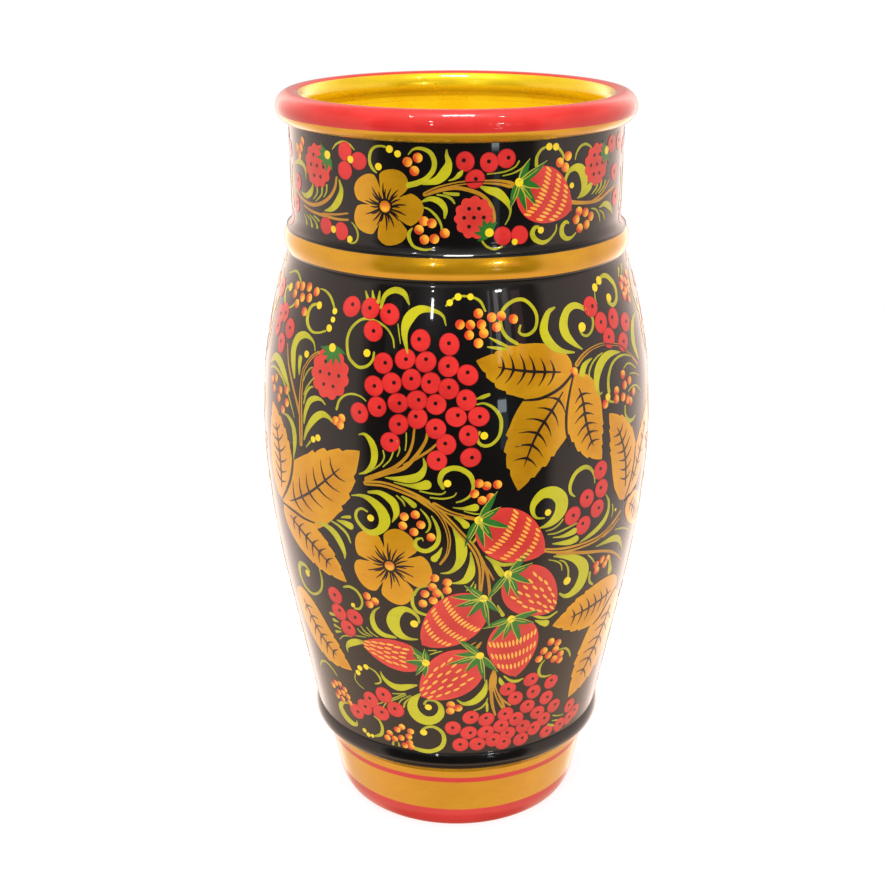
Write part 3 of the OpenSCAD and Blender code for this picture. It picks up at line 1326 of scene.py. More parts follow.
@dataclass(frozen=True)
class Flower:
    """Five-petalled gold flower with dark strokes and a ball in the middle.

    Attributes:
        angle: Angle of its middle in degrees.
        height: Height of its middle in mm.
        reach: How far the petals reach in mm.
        turn: Turn of the whole flower in degrees.
        ball: Radius of the ball in mm.
        strokes: How many dark strokes run over its petals.
    """

    angle: float
    height: float
    reach: float = 15.8
    turn: float = 90.0
    ball: float = 2.0
    strokes: int = 25

    def _edge(self, turn: float) -> float:
        """Radius of the petals' edge at a turn in radians."""
        petal, away = 0.435 * self.reach, 0.565 * self.reach
        off = (math.degrees(turn) - self.turn + 36.0) % 72.0 - 36.0
        rad = math.radians(off)
        edge = away * math.cos(rad) + math.sqrt(max(0.0, petal**2 - (away * math.sin(rad)) ** 2))
        notch = math.exp(-(((abs(off) - 36.0) / 2.6) ** 2))
        return edge * (1.0 - 0.42 * notch) * (1 + 0.02 * math.sin(7 * turn + self.height))

    def paint(self, painter: Painter) -> None:
        """Paints the petals, their strokes and the ball.

        Args:
            painter: Painter of the skin it is on.
        """
        petals = blob(self._edge, 140, (0.22, 0.45, 0.7, 0.88, 1.0), lambda share, turn: 0.35 + 0.6 * share)
        painter.put(Paint.FLOWER, petals, self.angle, self.height)
        ring = self.ball + 0.75
        ring_path = [(ring * math.cos(a), ring * math.sin(a), 0.38) for a in np.linspace(0, 2 * math.pi, 15)]
        painter.line_mm(Paint.PETAL_LINE, self.angle, self.height, ring_path)
        for k in range(self.strokes):
            way = self.turn + 360.0 * k / self.strokes + 4.0 * math.sin(k * 2.3)
            edge = self._edge(math.radians(way))
            far = min(edge - 1.6, (0.50 + 0.10 * math.sin(k * 3.7)) * self.reach)
            rows = turned_by([(ring, 0.0, 0.30), ((ring + far) / 2, 0.25, 0.34), (far, 0.0, 0.10)], way)
            painter.line_mm(Paint.PETAL_LINE, self.angle, self.height, rows)
        lean = math.radians(110)
        ball = blob(
            lambda turn: self.ball,
            16,
            (0.5, 1.0),
            lambda share, turn: 0.50 - 0.60 * share * math.cos(turn - lean),
        )
        painter.put(Paint.BUD, ball, self.angle, self.height)


@dataclass(frozen=True)
class Raspberry:
    """Lobed red raspberry with dark dots and a green calyx.

    Attributes:
        angle: Angle of its middle in degrees.
        height: Height of its middle in mm.
        width: Width in mm.
        tall: Height of the fruit in mm.
        calyx: Direction from the middle to the calyx in degrees, 90 upwards.
        lobes: How many lobes its edge has.
    """

    angle: float
    height: float
    width: float
    tall: float
    calyx: float
    lobes: int = 11

    def paint(self, painter: Painter) -> None:
        """Paints the fruit, its dots and its calyx.

        Args:
            painter: Painter of the skin it is on.
        """
        a, b = self.width / 2, self.tall / 2

        def edge(turn: float) -> float:
            """Radius of the lobed edge at a turn."""
            oval = a * b / math.hypot(b * math.cos(turn), a * math.sin(turn))
            return oval * (0.87 + 0.13 * abs(math.cos(self.lobes * (turn - math.radians(self.calyx)) / 2)))

        fruit = blob(edge, 72, (0.4, 0.75, 1.0), lambda share, turn: 0.55 + 0.5 * share)
        painter.put(Paint.FRUIT, fruit, self.angle, self.height)
        gap = 0.245 * self.width
        for row in range(-2, 3):
            for col in range(-2, 3):
                x, z = gap * (col + 0.5 * (row % 2)), gap * 0.92 * row
                inside = math.hypot(x / a, z / b) < 0.74
                away = math.dist((x, z), turned_by([(0.72 * b, 0.0)], self.calyx)[0]) > 0.36 * b
                if inside and away:
                    across = self.angle + x / painter.scale(self.height)
                    painter.dab(Paint.PIP, across, self.height + z, 0.72, 0.5)
        self._calyx(painter, b)

    def _calyx(self, painter: Painter, b: float) -> None:
        """Paints the ragged green calyx with its yellow dot."""
        for spread in (-88.0, -58.0, -24.0, 12.0, 46.0, 84.0):
            reach = 0.33 * self.width * (1.0 + 0.12 * math.sin(spread))
            rows = [(0.0, 0.0, 0.6), (0.30 * reach, 0.3, 1.30), (0.62 * reach, 0.4, 0.85), (reach, 0.0, 0.1)]
            rows = turned_by(rows, 180.0 + spread)
            rows = turned_by([(x + 0.95 * b, z, w) for x, z, w in rows], self.calyx)
            painter.line_mm(Paint.CALYX, self.angle, self.height, rows)
        spot = turned_by([(1.0 * b, 0.0)], self.calyx)[0]
        across = self.angle + spot[0] / painter.scale(self.height)
        painter.dab(Paint.DOT, across, self.height + spot[1], 1.6)


class SeedStyle(Enum):
    """How a strawberry's seeds are painted."""

    ROWS = "dashes in rows"
    DROPS = "scattered drops"


@dataclass(frozen=True)
class Strawberry:
    """Red strawberry from its calyx to its tip.

    Attributes:
        top: Angle and height of the calyx.
        tip: Angle and height of the tip.
        half_width: Half of its greatest width in mm.
        seeds: How its seeds are painted.
        leaflets: How many leaflets its calyx has.
    """

    top: Point
    tip: Point
    half_width: float = 10.5
    seeds: SeedStyle = SeedStyle.ROWS
    leaflets: int = 6

    def paint(self, painter: Painter) -> None:
        """Paints the fruit, its seeds and its calyx.

        Args:
            painter: Painter of the skin it is on.
        """
        scale = painter.scale((self.top[1] + self.tip[1]) / 2)
        across, up = (self.tip[0] - self.top[0]) * scale, self.tip[1] - self.top[1]
        length, way = math.hypot(across, up), math.degrees(math.atan2(up, across))
        share = np.linspace(0.0, 1.0, 26)
        rows = np.array(turned_by([(t * length, 0.0, self._width(t)) for t in share], way))
        painter.put(Paint.FRUIT, ribbon(rows, 11, lambda along, side, w: 0.45 + 0.5 * side**2), *self.top)
        self._seeds(painter, length, way)
        self._calyx(painter, way)

    def _width(self, share: float) -> float:
        """Half width at a share of the way from the calyx to the tip."""
        return self.half_width * math.sin(math.pi * min(0.998, max(0.002, share)) ** 0.8) ** 0.62

    def _seeds(self, painter: Painter, length: float, way: float) -> None:
        """Paints the seeds in their style."""
        for share, side, half in self._seed_places():
            width = self._width(share)
            x, z = share * length + 2.6 * (1 - side * side) - 1.0, side * width
            rows = turned_by([(-half, 0.0, 0.30), (0.0, 0.0, 0.50), (half, 0.0, 0.22)], -16.0 * side)
            rows = turned_by([(x + p[0], z + p[1], p[2]) for p in rows], way)
            painter.line_mm(Paint.SEED, *self.top, rows)

    def _seed_places(self) -> list[tuple[float, float, float]]:
        """Share along, share across and half length of every seed."""
        if self.seeds is SeedStyle.ROWS:
            rows = ((0.36, 13, 1.35), (0.57, 12, 1.30), (0.76, 9, 1.15))
            return [(share, -0.88 + 1.76 * k / (n - 1), half) for share, n, half in rows for k in range(n)]
        places = []
        for i, share in enumerate((0.30, 0.42, 0.54, 0.66, 0.78, 0.89)):
            count = 5 - (i % 2) - (share > 0.7)
            places += [(share, -0.76 + 1.52 * (k + 0.5) / count, 1.35) for k in range(count)]
        return places

    def _calyx(self, painter: Painter, way: float) -> None:
        """Paints the green leaflets, their light edges and the dot."""
        for k in range(self.leaflets):
            spread = -88.0 + 176.0 * k / (self.leaflets - 1)
            reach = self.half_width * (1.08 + 0.20 * math.sin(2.6 * k + self.top[1]))
            bend = 0.9 * math.sin(1.7 * k + 0.6)
            rows = [(0.0, 0.0, 0.7), (0.32 * reach, 0.3 * bend, 1.50)]
            rows += [(0.66 * reach, bend, 1.00), (reach, 2.2 * bend, 0.06)]
            painter.line_mm(Paint.CALYX, *self.top, turned_by(rows, way + spread), 5)
            side = 1.0 if bend > 0 else -1.0
            edge = []
            for x, z, w in rows:
                away = side * (w - 0.15) * min(1.0, 0.5 + x / reach)
                edge.append((x, z + away, 0.24 - 0.14 * x / reach))
            painter.line_mm(Paint.CALYX_LINE, *self.top, turned_by(edge, way + spread))
            if k % 2 == 0:
                rib = [(x, z, 0.20 - 0.12 * x / reach) for x, z, _ in rows[:3]]
                painter.line_mm(Paint.CALYX_LINE, *self.top, turned_by(rib, way + spread))
        painter.dab(Paint.DOT, *self.top, 1.6)


@dataclass(frozen=True)
class Stroke:
    """Free brush stroke, with round dots at its end.

    Attributes:
        path: Stations of angle, height and half width.
        dots: Dots of angle, height and radius.
        kind: Its paint.
    """

    path: tuple[Station, ...]
    dots: tuple[Station, ...] = ()
    kind: Paint = Paint.CURL

    def paint(self, painter: Painter) -> None:
        """Paints the stroke and its dots.

        Args:
            painter: Painter of the skin it is on.
        """
        if self.path:
            columns = 5 if max(p[2] for p in self.path) > 1.5 else 3
            painter.stroke(self.kind, self.path, columns)
        for angle, height, radius in self.dots:
            painter.dab(Paint.DOT, angle, height, 0.84 * radius)


@dataclass(frozen=True)
class Stem:
    """Ochre stem."""

    path: tuple[Station, ...]

    def paint(self, painter: Painter) -> None:
        """Paints the stem.

        Args:
            painter: Painter of the skin it is on.
        """
        painter.stroke(Paint.STEM, self.path)
        if max(width for _, _, width in self.path) > 0.95 and len(self.path) > 3:
            inner = self.path[: -1]
            last = len(inner) - 1
            gap = [(a, z, 0.07 + 0.17 * math.sin(math.pi * i / last)) for i, (a, z, _) in enumerate(inner)]
            painter.stroke(Paint.VEIN, tuple(gap))


# ---------------------------------------------------------------- places of the ornament, angle and height

BARREL_BERRIES: tuple[Point, ...] = (
    (-10.2, 218.7), (-2, 217.6), (-20.8, 209.6), (-14.4, 211.8), (-8.5, 211.2), (-2.2, 209.8),
    (3.1, 206.7), (-23.2, 201), (-18, 202.8), (-12.4, 204.6), (-7, 203.7), (-2.1, 201.8), (-16, 195.7),
    (-10.7, 197.2), (-5.5, 196), (2.7, 197.7), (-27.3, 190.3), (-22, 193.5), (-15.7, 187.8),
    (-10.5, 190.5), (-5.5, 187), (-0.1, 191.5), (6, 191.5), (-18, 180.8), (-2.7, 181.2), (3.3, 184.5),
    (-5.2, 175), (3.8, 176.2), (-33, 228), (-26.4, 228.3), (-20, 227), (-24.7, 220.6), (44.5, 225.8),
    (47.9, 219.2), (54.5, 219.2), (50.6, 212.8), (61.4, 215.8), (57.9, 209.2), (44, 163.2), (44.9, 155.3),
    (39.1, 153.2), (43.7, 147.3), (34.3, 147.5), (38.6, 142), (-40.3, 110.3), (-39.8, 102.8),
    (-33.4, 102.8), (-37, 96.2), (-26.4, 67.5), (-32.2, 63.2), (-35.8, 58.2), (-40.4, 54.2), (-28.6, 57.8),
    (-22.3, 61.5), (-72.6, 226.2), (-68.3, 217), (-64.7, 218.7), (-68.9, 212), (-63.5, 207), (-59.1, 214),
)
LOW_BERRIES: tuple[Point, ...] = (
    (26.2, 75.3), (17.8, 72.8), (35, 71.2), (28, 68.7), (21, 67.5), (34, 63.7), (5.1, 60.3), (10.8, 58.7),
    (17.8, 60.3), (26.2, 62), (31, 57.3), (38.5, 57.8), (-1.3, 55), (22.3, 56.7), (16.5, 54.5),
    (4.5, 52.5), (10.8, 52.3), (19.5, 50), (25.6, 52), (34.6, 52.8), (7.9, 46.5), (13.9, 47.8),
    (30.6, 49.5), (1.5, 46.5), (25.2, 45.6), (37, 45.6), (18, 45.5), (47.9, 53.7), (52.7, 48.7),
    (43.7, 46), (49.1, 47),
)
BARREL_BUDS: tuple[Point, ...] = (
    (1, 224.5), (4, 224.3), (6.4, 228.2), (7.2, 224.4), (3.6, 220.8), (7.8, 221.3), (6.2, 217.9),
    (10.3, 226.7), (13.2, 227), (11.6, 223.3), (16.8, 225.7), (-60, 230), (-56.6, 230.6), (-52.7, 231.2),
    (-48.5, 230.4), (-60.4, 226.9), (-55.3, 226.8), (-51.5, 227.5), (-57.7, 223.8), (-52.6, 222.1),
    (64, 229), (66, 231), (68.5, 229.5), (66.5, 226.5), (69, 226), (64.5, 225), (68, 223), (71, 228),
    (71.5, 231.5), (-56.9, 190.7), (-64.5, 193), (-67.6, 191), (-60.8, 189.2), (-56.4, 185.9),
    (-65.7, 188.2), (-61.7, 185.8), (-58.7, 182.4), (-35, 185.5), (-33, 186.9), (-33.4, 184.3), (6, 166),
    (8.1, 164.9), (11, 165.2), (4.8, 162), (6.9, 159.2), (9.2, 160.2), (46, 188.8), (51.2, 189),
    (51.5, 192.2), (54.8, 188.7), (56, 193), (55.5, 197.3), (59, 193.8), (57.3, 186.8), (59, 185.5),
    (61.3, 188.5), (-14.3, 151.8), (-11.2, 153), (-14.8, 148), (-9.7, 149), (-11.7, 145.8), (-7, 144),
    (-6.2, 126.5), (-2.6, 124.8), (-6.9, 122.5), (-2.7, 121.3), (-9.2, 119.3), (-5.7, 119.7),
    (-9.9, 114.8), (-6.8, 116.5), (-27.7, 114.5), (-25.1, 112.8), (-27.1, 110.9), (46.6, 121.5),
    (47.3, 118.6), (51.2, 119.6), (49.3, 122.7), (52.5, 121.5), (32, 91.7), (35, 90.2), (29.7, 88.1),
    (34.5, 87), (28.2, 84.7), (31.8, 85.3), (34.5, 82.5), (37, 84), (37, 81.2), (-2, 66.8), (-2.2, 63.7),
    (0.6, 65.2), (34.8, 204),
)
SMALL_BUDS: tuple[Point, ...] = (
    (-20.6, 53), (-22.6, 51.2), (-17.2, 51.5), (-26, 48.4), (-21.3, 47.3), (-18.1, 48.7), (-24.1, 46),
    (-27.3, 45.7), (-20, 43.8), (-18, 45.5), (-17.5, 43.5), (-52, 62), (-50, 64), (-47.5, 64.5), (-45, 63),
    (-49, 60), (-46.5, 60.5), (-44, 60), (-50.5, 57.5), (-47.5, 57), (-43.5, 57),
)
NECK_BERRIES: tuple[Point, ...] = (
    (2.7, 282), (10.2, 281.5), (15.7, 282.7), (5.8, 275.8), (-67, 268), (-69.5, 259.5), (62.5, 283),
    (66, 272), (68, 262), (70, 283),
)
BLIND_BERRIES: tuple[Point, ...] = (
    (-38, 283.5), (-38.2, 276.6), (-32.5, 280.6), (-48, 254.8), (-40.5, 254), (14.8, 255), (20.5, 255),
)
NECK_BUDS: tuple[Point, ...] = (
    (-66.5, 281), (-64.5, 278.5), (-63, 281.5), (-61.5, 284), (-15.4, 281.5), (-12.1, 283.1),
    (-13.2, 278.4), (-10.3, 260.6), (-7.8, 259.9), (-11.9, 257.4), (-10.2, 253.9), (-7, 254.3),
    (-3.7, 256.4), (34.7, 279.8), (38, 281.8), (37, 277.8), (43.7, 260.8), (42.5, 258), (47, 260),
    (44.3, 254.5), (47.8, 255.3), (50, 258),
)
BARREL_STEMS: tuple[Stem, ...] = (
    Stem(((-48.7, 172, 0.9), (-48.8, 180, 1.1), (-49.3, 190, 1), (-49, 200, 0.8), (-48, 203, 0.7),
        (-46, 206.5, 0.7), (-43.5, 209, 0.6), (-41, 209.7, 0.5))),
    Stem(((-49.5, 184, 0.7), (-51.5, 189, 0.6), (-54, 194.5, 0.6), (-57, 201, 0.5), (-59, 208, 0.4))),
    Stem(((-25, 165.2, 0.9), (-21, 168, 0.8), (-16.5, 171.5, 0.7), (-13.3, 176, 0.6), (-11.8, 181, 0.5),
        (-11.3, 186.5, 0.4))),
    Stem(((-25, 165, 0.9), (-19, 168.5, 0.7), (-14, 171.5, 0.8), (-10.5, 177, 0.7), (-8.3, 182, 0.6),
        (-7.7, 185.5, 0.5))),
    Stem(((-14, 172.5, 0.5), (-10, 176, 0.5), (-7, 179, 0.5), (-5.5, 181, 0.4))),
    Stem(((-25.3, 163.5, 1), (-20, 164, 1.1), (-15, 162.5, 1.2), (-11, 160.5, 1.2), (-8, 158, 1.4))),
    Stem(((-8, 158, 1.3), (-5, 154, 0.7), (-3, 149, 0.7), (-2, 143, 0.7), (-2.6, 137, 0.6),
        (-4.5, 132.8, 0.5))),
    Stem(((-6, 157.5, 1), (-2, 154.5, 0.9), (2, 152.8, 0.8), (5, 151.8, 0.7))),
    Stem(((-5, 155.5, 1), (-2, 151, 1), (1, 146, 1), (4, 141, 1.1), (6, 136, 1.2), (7, 130, 1.1),
        (7, 124, 0.9), (6.8, 119, 0.7))),
    Stem(((5.5, 138, 0.8), (7.5, 133, 0.7), (8.8, 128, 0.6), (9.5, 122, 0.6), (9.8, 117, 0.6),
        (10.3, 114.5, 0.5))),
    Stem(((8, 132, 0.4), (9.5, 128.5, 0.4), (10.7, 125.3, 0.3))),
    Stem(((26, 135.3, 0.9), (29, 134.2, 1.1), (33, 133.4, 1.3), (38, 133.2, 1.2), (44, 133.5, 1.1),
        (48, 134.7, 0.9), (52, 137.2, 0.8), (56, 140.8, 0.7))),
    Stem(((30, 132.5, 0.6), (36, 131, 0.7), (42, 129, 0.7), (48, 127, 0.6), (54, 124, 0.6),
        (59, 120, 0.5), (63.5, 115.5, 0.5))),
    Stem(((48, 133.4, 0.5), (52, 135, 0.5), (55.5, 137.8, 0.5))),
    Stem(((36, 206.5, 1), (38.5, 209, 0.9), (42, 210.8, 0.7), (46, 211.4, 0.6), (49, 211, 0.5),
        (52, 210, 0.5), (56, 208.3, 0.5), (59, 205.5, 0.5), (62.5, 202, 0.5), (66, 198, 0.5))),
    Stem(((12.4, 84, 0.3), (12.3, 79, 1.5), (12.2, 74, 1.5))),
    Stem(((11.8, 74, 0.6), (12.2, 69, 0.7), (12.9, 64.5, 0.6), (14, 60.5, 0.4))),
    Stem(((13, 74, 0.8), (14.5, 69, 0.8), (16.3, 65, 1), (17, 62.8, 0.6))),
    Stem(((13.8, 72, 0.5), (16, 68, 0.5), (19.3, 64.3, 0.4))),
    Stem(((7.7, 97, 0.3), (6.8, 95.3, 0.7), (6, 94, 0.5))),
    Stem(((3, 95, 0.3), (4.5, 96, 0.3), (6, 97.3, 0.2))),
)
BARREL_STROKES: tuple[Stroke, ...] = (
    # top left
    Stroke(((-69, 232.5, 0.3), (-65, 234.3, 0.5), (-62, 234.5, 0.5), (-59.5, 233, 0.5),
        (-58, 231.5, 0.4))),
    Stroke(((-64.5, 228.4, 0.6), (-67.5, 227.5, 0.7), (-68, 225, 0.8), (-66.5, 222.5, 0.7),
        (-65, 220.5, 0.5)), ((-64.5, 228.4, 1.9),)),
    Stroke(((-62.5, 221, 0.3), (-60.5, 222, 0.5), (-59, 223.5, 0.5))),
    Stroke(((-47, 231.8, 0.2), (-44.5, 231.6, 0.4), (-42, 230.2, 0.5), (-40.2, 227.8, 0.5),
        (-39.3, 226, 0.4)), ((-39, 225.3, 1.4), (-39.2, 222.2, 1.3), (-40.2, 218.9, 1.6))),
    Stroke(((-41.5, 217.6, 0.4), (-44, 216.4, 0.4), (-47, 216, 0.5), (-49.5, 217.8, 0.8),
        (-50.5, 220.5, 0.9), (-50.2, 223.5, 0.8), (-48.8, 225.5, 0.6), (-47, 226.2, 0.5)),
        ((-45.9, 226, 1.7),)),
    Stroke(((-53, 197, 0.6), (-54.5, 203, 1.6), (-55, 208, 1.8), (-53.5, 212, 1.7), (-50.5, 214, 1.3),
        (-47.5, 213.6, 0.7), (-45.5, 212, 0.4), (-44.7, 209.5, 0.25))),
    Stroke(((-50.7, 199, 0.4), (-51, 202, 0.9), (-51, 205, 1.2)), ((-48.2, 207.3, 1.6),)),
    Stroke(((-48.5, 197, 0.2), (-47.5, 200, 0.3), (-46, 202.5, 0.3), (-45, 203.2, 0.2))),
    Stroke(((-71, 197, 0.5), (-67, 200.5, 1.5), (-63, 200, 2), (-59.5, 197, 1.8), (-56.5, 193.5, 0.8),
        (-55, 191, 0.3))),
    Stroke(((-70.5, 195, 0.4), (-67, 196.5, 0.6), (-63, 196, 0.7), (-59.5, 194, 0.6), (-57, 191, 0.5),
        (-55, 188, 0.4), (-53, 184, 0.3), (-52, 181.5, 0.2))),
    Stroke(((-58.2, 180.9, 0.2), (-55.5, 180.8, 0.7), (-53, 178.5, 1.2), (-51.8, 174.5, 1.4),
        (-51.9, 170, 1.1), (-52.4, 166.5, 0.6), (-52.6, 164, 0.2))),
    Stroke(((-47.3, 181, 0.4), (-46.8, 185.5, 0.9), (-45.3, 190, 1.2), (-42.8, 192, 1), (-40.5, 192, 0.5),
        (-39, 190.7, 0.3))),
    Stroke(((-47.2, 174.5, 0.4), (-45.8, 179, 1), (-43, 184, 1.5), (-40, 186.7, 1.3), (-37.5, 186.2, 0.8),
        (-36.3, 184.9, 0.4))),
    Stroke(((-47.8, 192, 0.3), (-46.8, 195, 0.3), (-45.2, 197.8, 0.3), (-44, 199.5, 0.25))),
    Stroke(((-47.7, 188.5, 0.35), (-47, 192.5, 0.5), (-45.5, 195.3, 0.5), (-44.2, 196, 0.3))),
    Stroke(((-46.3, 171.8, 0.3), (-44.5, 174.5, 0.5)), ((-43.3, 175.8, 1.5), (-41.4, 177, 1.6))),
    # top centre
    Stroke(((-28.8, 234, 0.25), (-27, 230, 0.9))),
    Stroke(((-26.5, 234.5, 0.25), (-25.6, 231, 0.9))),
    Stroke(((-24, 234.5, 0.25), (-24, 231, 0.8))),
    Stroke(((-23, 229, 0.5), (-22, 233.5, 0.9), (-19, 235.5, 1.1), (-16, 234.5, 1), (-14.2, 231, 0.3))),
    Stroke(((-13.8, 214, 0.3), (-15, 221, 1.2), (-14, 226, 2), (-11, 229.3, 1.5), (-7, 229.3, 0.8),
        (-4, 227.5, 0.5), (-3, 224, 0.2))),
    Stroke(((-17.8, 215.5, 0.25), (-18.5, 219, 0.35), (-21, 222.5, 0.4), (-25.5, 224.5, 0.5),
        (-29, 224, 0.5), (-32, 220.5, 0.55), (-33, 216, 0.6), (-32, 210.5, 0.6), (-30, 208, 0.6),
        (-28, 207, 0.6), (-25.5, 208, 0.55), (-24, 210.5, 0.5), (-23.8, 213, 0.4)), ((-26, 212.5, 1.7),)),
    Stroke(((-17.2, 224, 0.2), (-16.6, 220.5, 0.25), (-16, 217, 0.15))),
    Stroke(((-3, 231, 0.4), (0, 234, 0.4), (4, 234, 0.4), (7, 232.5, 0.5), (8.5, 229, 0.35)),
        ((-2, 232, 1.4), (0.5, 234, 1.5), (4.2, 234, 1.4))),
    Stroke(((17.3, 217, 0.65), (14.5, 219.5, 0.65), (13, 223, 0.65), (13, 227, 0.65), (14.5, 230, 0.65),
        (17.5, 232, 0.65), (20.5, 232, 0.65), (23, 229.5, 0.65), (24.2, 226, 0.65), (23.5, 222, 0.6),
        (21.5, 220, 0.6), (19.5, 219.8, 0.55), (18.2, 221, 0.5), (18.8, 223.2, 0.4))),
    Stroke(((9.3, 219.8, 0.2), (11.8, 218, 0.6), (14.3, 216.3, 0.5))),
    Stroke(((8.6, 216.5, 0.2), (11.3, 215.9, 0.6), (14, 215.3, 0.5))),
    Stroke(((30.5, 228, 0.4), (28, 226.5, 1), (26, 221, 1.7), (27.5, 216, 1.7), (31, 212.5, 1),
        (35.5, 211, 0.3))),
    Stroke(((-34.8, 190, 0.5), (-34, 193.5, 0.5), (-32, 196, 0.4), (-29.5, 196.9, 0.4), (-27, 196.4, 0.3),
        (-25.3, 195, 0.2))),
    Stroke(((-27.4, 182, 0.2), (-25.5, 182.5, 0.6), (-23.5, 180, 1.2), (-22.5, 176, 1.4),
        (-23, 171.5, 1.2), (-25, 168, 0.7), (-27.3, 166.6, 0.2))),
    Stroke(((-20, 177.2, 0.3), (-19.7, 174.5, 0.3), (-21, 171.5, 0.3), (-24, 168.2, 0.2))),
    Stroke(((-17, 177.7, 0.3), (-18, 174, 0.3), (-20, 171, 0.25))),
    Stroke(((-16, 181.5, 0.3), (-15.3, 178.5, 0.3), (-16, 175.5, 0.2))),
    Stroke(((-13.5, 185, 0.2), (-13.5, 181, 0.25), (-13.8, 178, 0.2))),
    Stroke(((-8.8, 175.5, 0.3), (-8.4, 172.5, 0.8), (-9.8, 168.8, 1.5), (-12.5, 167.2, 1.6),
        (-16, 166.8, 0.9), (-19.5, 166.8, 0.2))),
    Stroke(((-8, 165.3, 1.9), (-10, 164.6, 1.4), (-13, 164.6, 0.6), (-17, 165.3, 0.2))),
    Stroke(((0, 158.6, 0.3), (1.5, 159.2, 0.4), (3.5, 161, 0.5), (4.4, 164, 0.6), (4.4, 166.5, 0.8),
        (3.5, 169.5, 1), (1, 171.8, 1), (-1.5, 172, 1), (-3.7, 170.2, 1.1), (-4.4, 167, 0.9),
        (-3.6, 164.3, 0.7)), ((-2.4, 166.1, 1.7),)),
    Stroke(((-9.8, 162.7, 0.3), (-7, 162, 0.35), (-4, 161.8, 0.3), (-3, 162.8, 0.3))),
    Stroke(((-7, 160.3, 0.3), (-3.5, 160, 0.35), (-0.8, 161, 0.3), (0, 162.5, 0.2))),
    Stroke(((5.3, 198, 0.2), (7, 198.6, 0.7), (8.8, 199.4, 0.6))),
    Stroke(((5.5, 196, 0.3), (7.5, 196.3, 0.4), (10, 194.5, 0.6), (11.8, 191, 0.7), (12, 187, 0.7),
        (11.3, 183.5, 0.6), (9.5, 181, 0.6), (7.5, 180.4, 0.6), (6, 181.6, 0.6), (5.6, 184, 0.5),
        (6.2, 185.7, 0.4)), ((7.4, 184.3, 1.7),)),
    # top right
    Stroke(((38.5, 211.6, 0.3), (36, 214, 0.9), (33.5, 217.5, 1.7), (32.8, 221.5, 1.9),
        (34.3, 225.5, 1.5), (36.5, 227.3, 1.3), (39, 227.3, 1.1), (42, 225.3, 0.8), (44.2, 222.5, 0.6),
        (44.3, 219.5, 0.6), (43, 217, 0.5), (41, 215.9, 0.5), (39.3, 216.8, 0.5), (38.7, 218.5, 0.5)),
        ((39.6, 219.4, 2.1),)),
    Stroke((), ((48.2, 232, 1.8), (51, 234, 1.9))),
    Stroke(((47.7, 231, 0.3), (47.3, 228, 0.3), (47.6, 226, 0.2))),
    Stroke(((49.5, 233, 0.5), (53, 235, 0.7), (56, 234.5, 1), (58.8, 231.5, 1.1), (59.5, 228.5, 0.9),
        (58.5, 225.2, 0.8), (56, 223.8, 0.8), (54, 224.8, 0.7), (53.3, 226, 0.6)), ((54.2, 226.9, 1.9),)),
    Stroke(((37.6, 202.7, 1.4), (38.5, 205, 1.3), (40, 206.5, 0.8), (42, 207.4, 0.2))),
    Stroke(((40.5, 199.7, 0.3), (40.2, 202, 0.4), (41.5, 205, 0.4), (44, 207.3, 0.35),
        (46.5, 208.2, 0.25))),
    Stroke(((45, 193.8, 0.2), (43.8, 193.2, 0.5), (43, 195.5, 1), (43, 199, 1.5), (44.3, 203, 2),
        (47, 206, 1.8), (50.5, 207, 1.2), (55.3, 206.1, 0.2))),
    Stroke(((47.9, 193, 0.8), (47.8, 196, 0.7), (48.5, 199.5, 0.7), (50.5, 203, 0.6), (54, 204.6, 0.5),
        (58, 204.2, 0.4), (62.5, 202, 0.3)), ((47.3, 191.2, 1.7),)),
    Stroke(((56.3, 199.5, 0.3), (58.5, 200.5, 0.4), (61, 199.7, 0.4), (64, 197, 0.35))),
    Stroke(((71, 216.5, 0.3), (68, 215, 1), (65.8, 211.5, 1.8), (65, 207.5, 1.8), (66, 203, 1.2),
        (67.5, 199.5, 0.5))),
    Stroke(((64, 232.5, 0.3), (65.5, 235, 0.8))),
    Stroke(((67, 233, 0.3), (69, 235.5, 0.8))),
    Stroke(((47.3, 190, 0.6), (48.5, 189, 0.5), (50, 188.3, 0.4))),
    Stroke(((58, 189.8, 0.3), (60.5, 190.8, 0.4), (63.5, 190.3, 0.4), (65.5, 188.5, 0.4),
        (67, 186.6, 0.3))),
    Stroke(((59.5, 196.2, 0.2), (61.5, 195.9, 0.3), (64, 194.8, 0.25), (66.5, 193, 0.2))),
    Stroke(((55.7, 184.8, 0.4), (55.7, 181.5, 0.6), (57.5, 178.4, 0.8), (60, 177.6, 0.7),
        (62, 178.6, 0.4))),
    # middle
    Stroke(((-43.5, 141.5, 0.3), (-40, 141.3, 1), (-37, 139.3, 1.5), (-35, 135.5, 1.4), (-34, 131.5, 0.8),
        (-34.2, 129, 0.2))),
    Stroke(((-38, 144.3, 0.3), (-35, 143, 0.6), (-32.5, 140.5, 0.6), (-31.4, 137, 0.3))),
    Stroke(((-31, 144.2, 1.5), (-33, 144.9, 1.1), (-35.5, 145.2, 0.3))),
    Stroke(((-31, 148, 0.7), (-33, 147.4, 0.5), (-34, 146.8, 0.2))),
    Stroke(((-30, 157.3, 0.2), (-27, 158, 0.6), (-24, 157, 1.3), (-21, 153.5, 2), (-20, 149, 2.3),
        (-21.5, 145, 1.6), (-24.5, 143.2, 1.2), (-27, 144.8, 0.8), (-28.8, 148, 0.7), (-28.6, 151, 0.6),
        (-27, 152.7, 0.5), (-25.2, 151.9, 0.4)), ((-24.2, 149.4, 1.7),)),
    Stroke(((-24.5, 160, 0.5), (-21, 160.3, 1), (-17.5, 157.5, 1.6), (-16.5, 153.5, 1.3), (-17, 151, 0.7),
        (-17.8, 149, 0.2))),
    Stroke(((-11.5, 156.8, 1.1), (-13, 158.5, 0.9), (-14.8, 160, 0.3))),
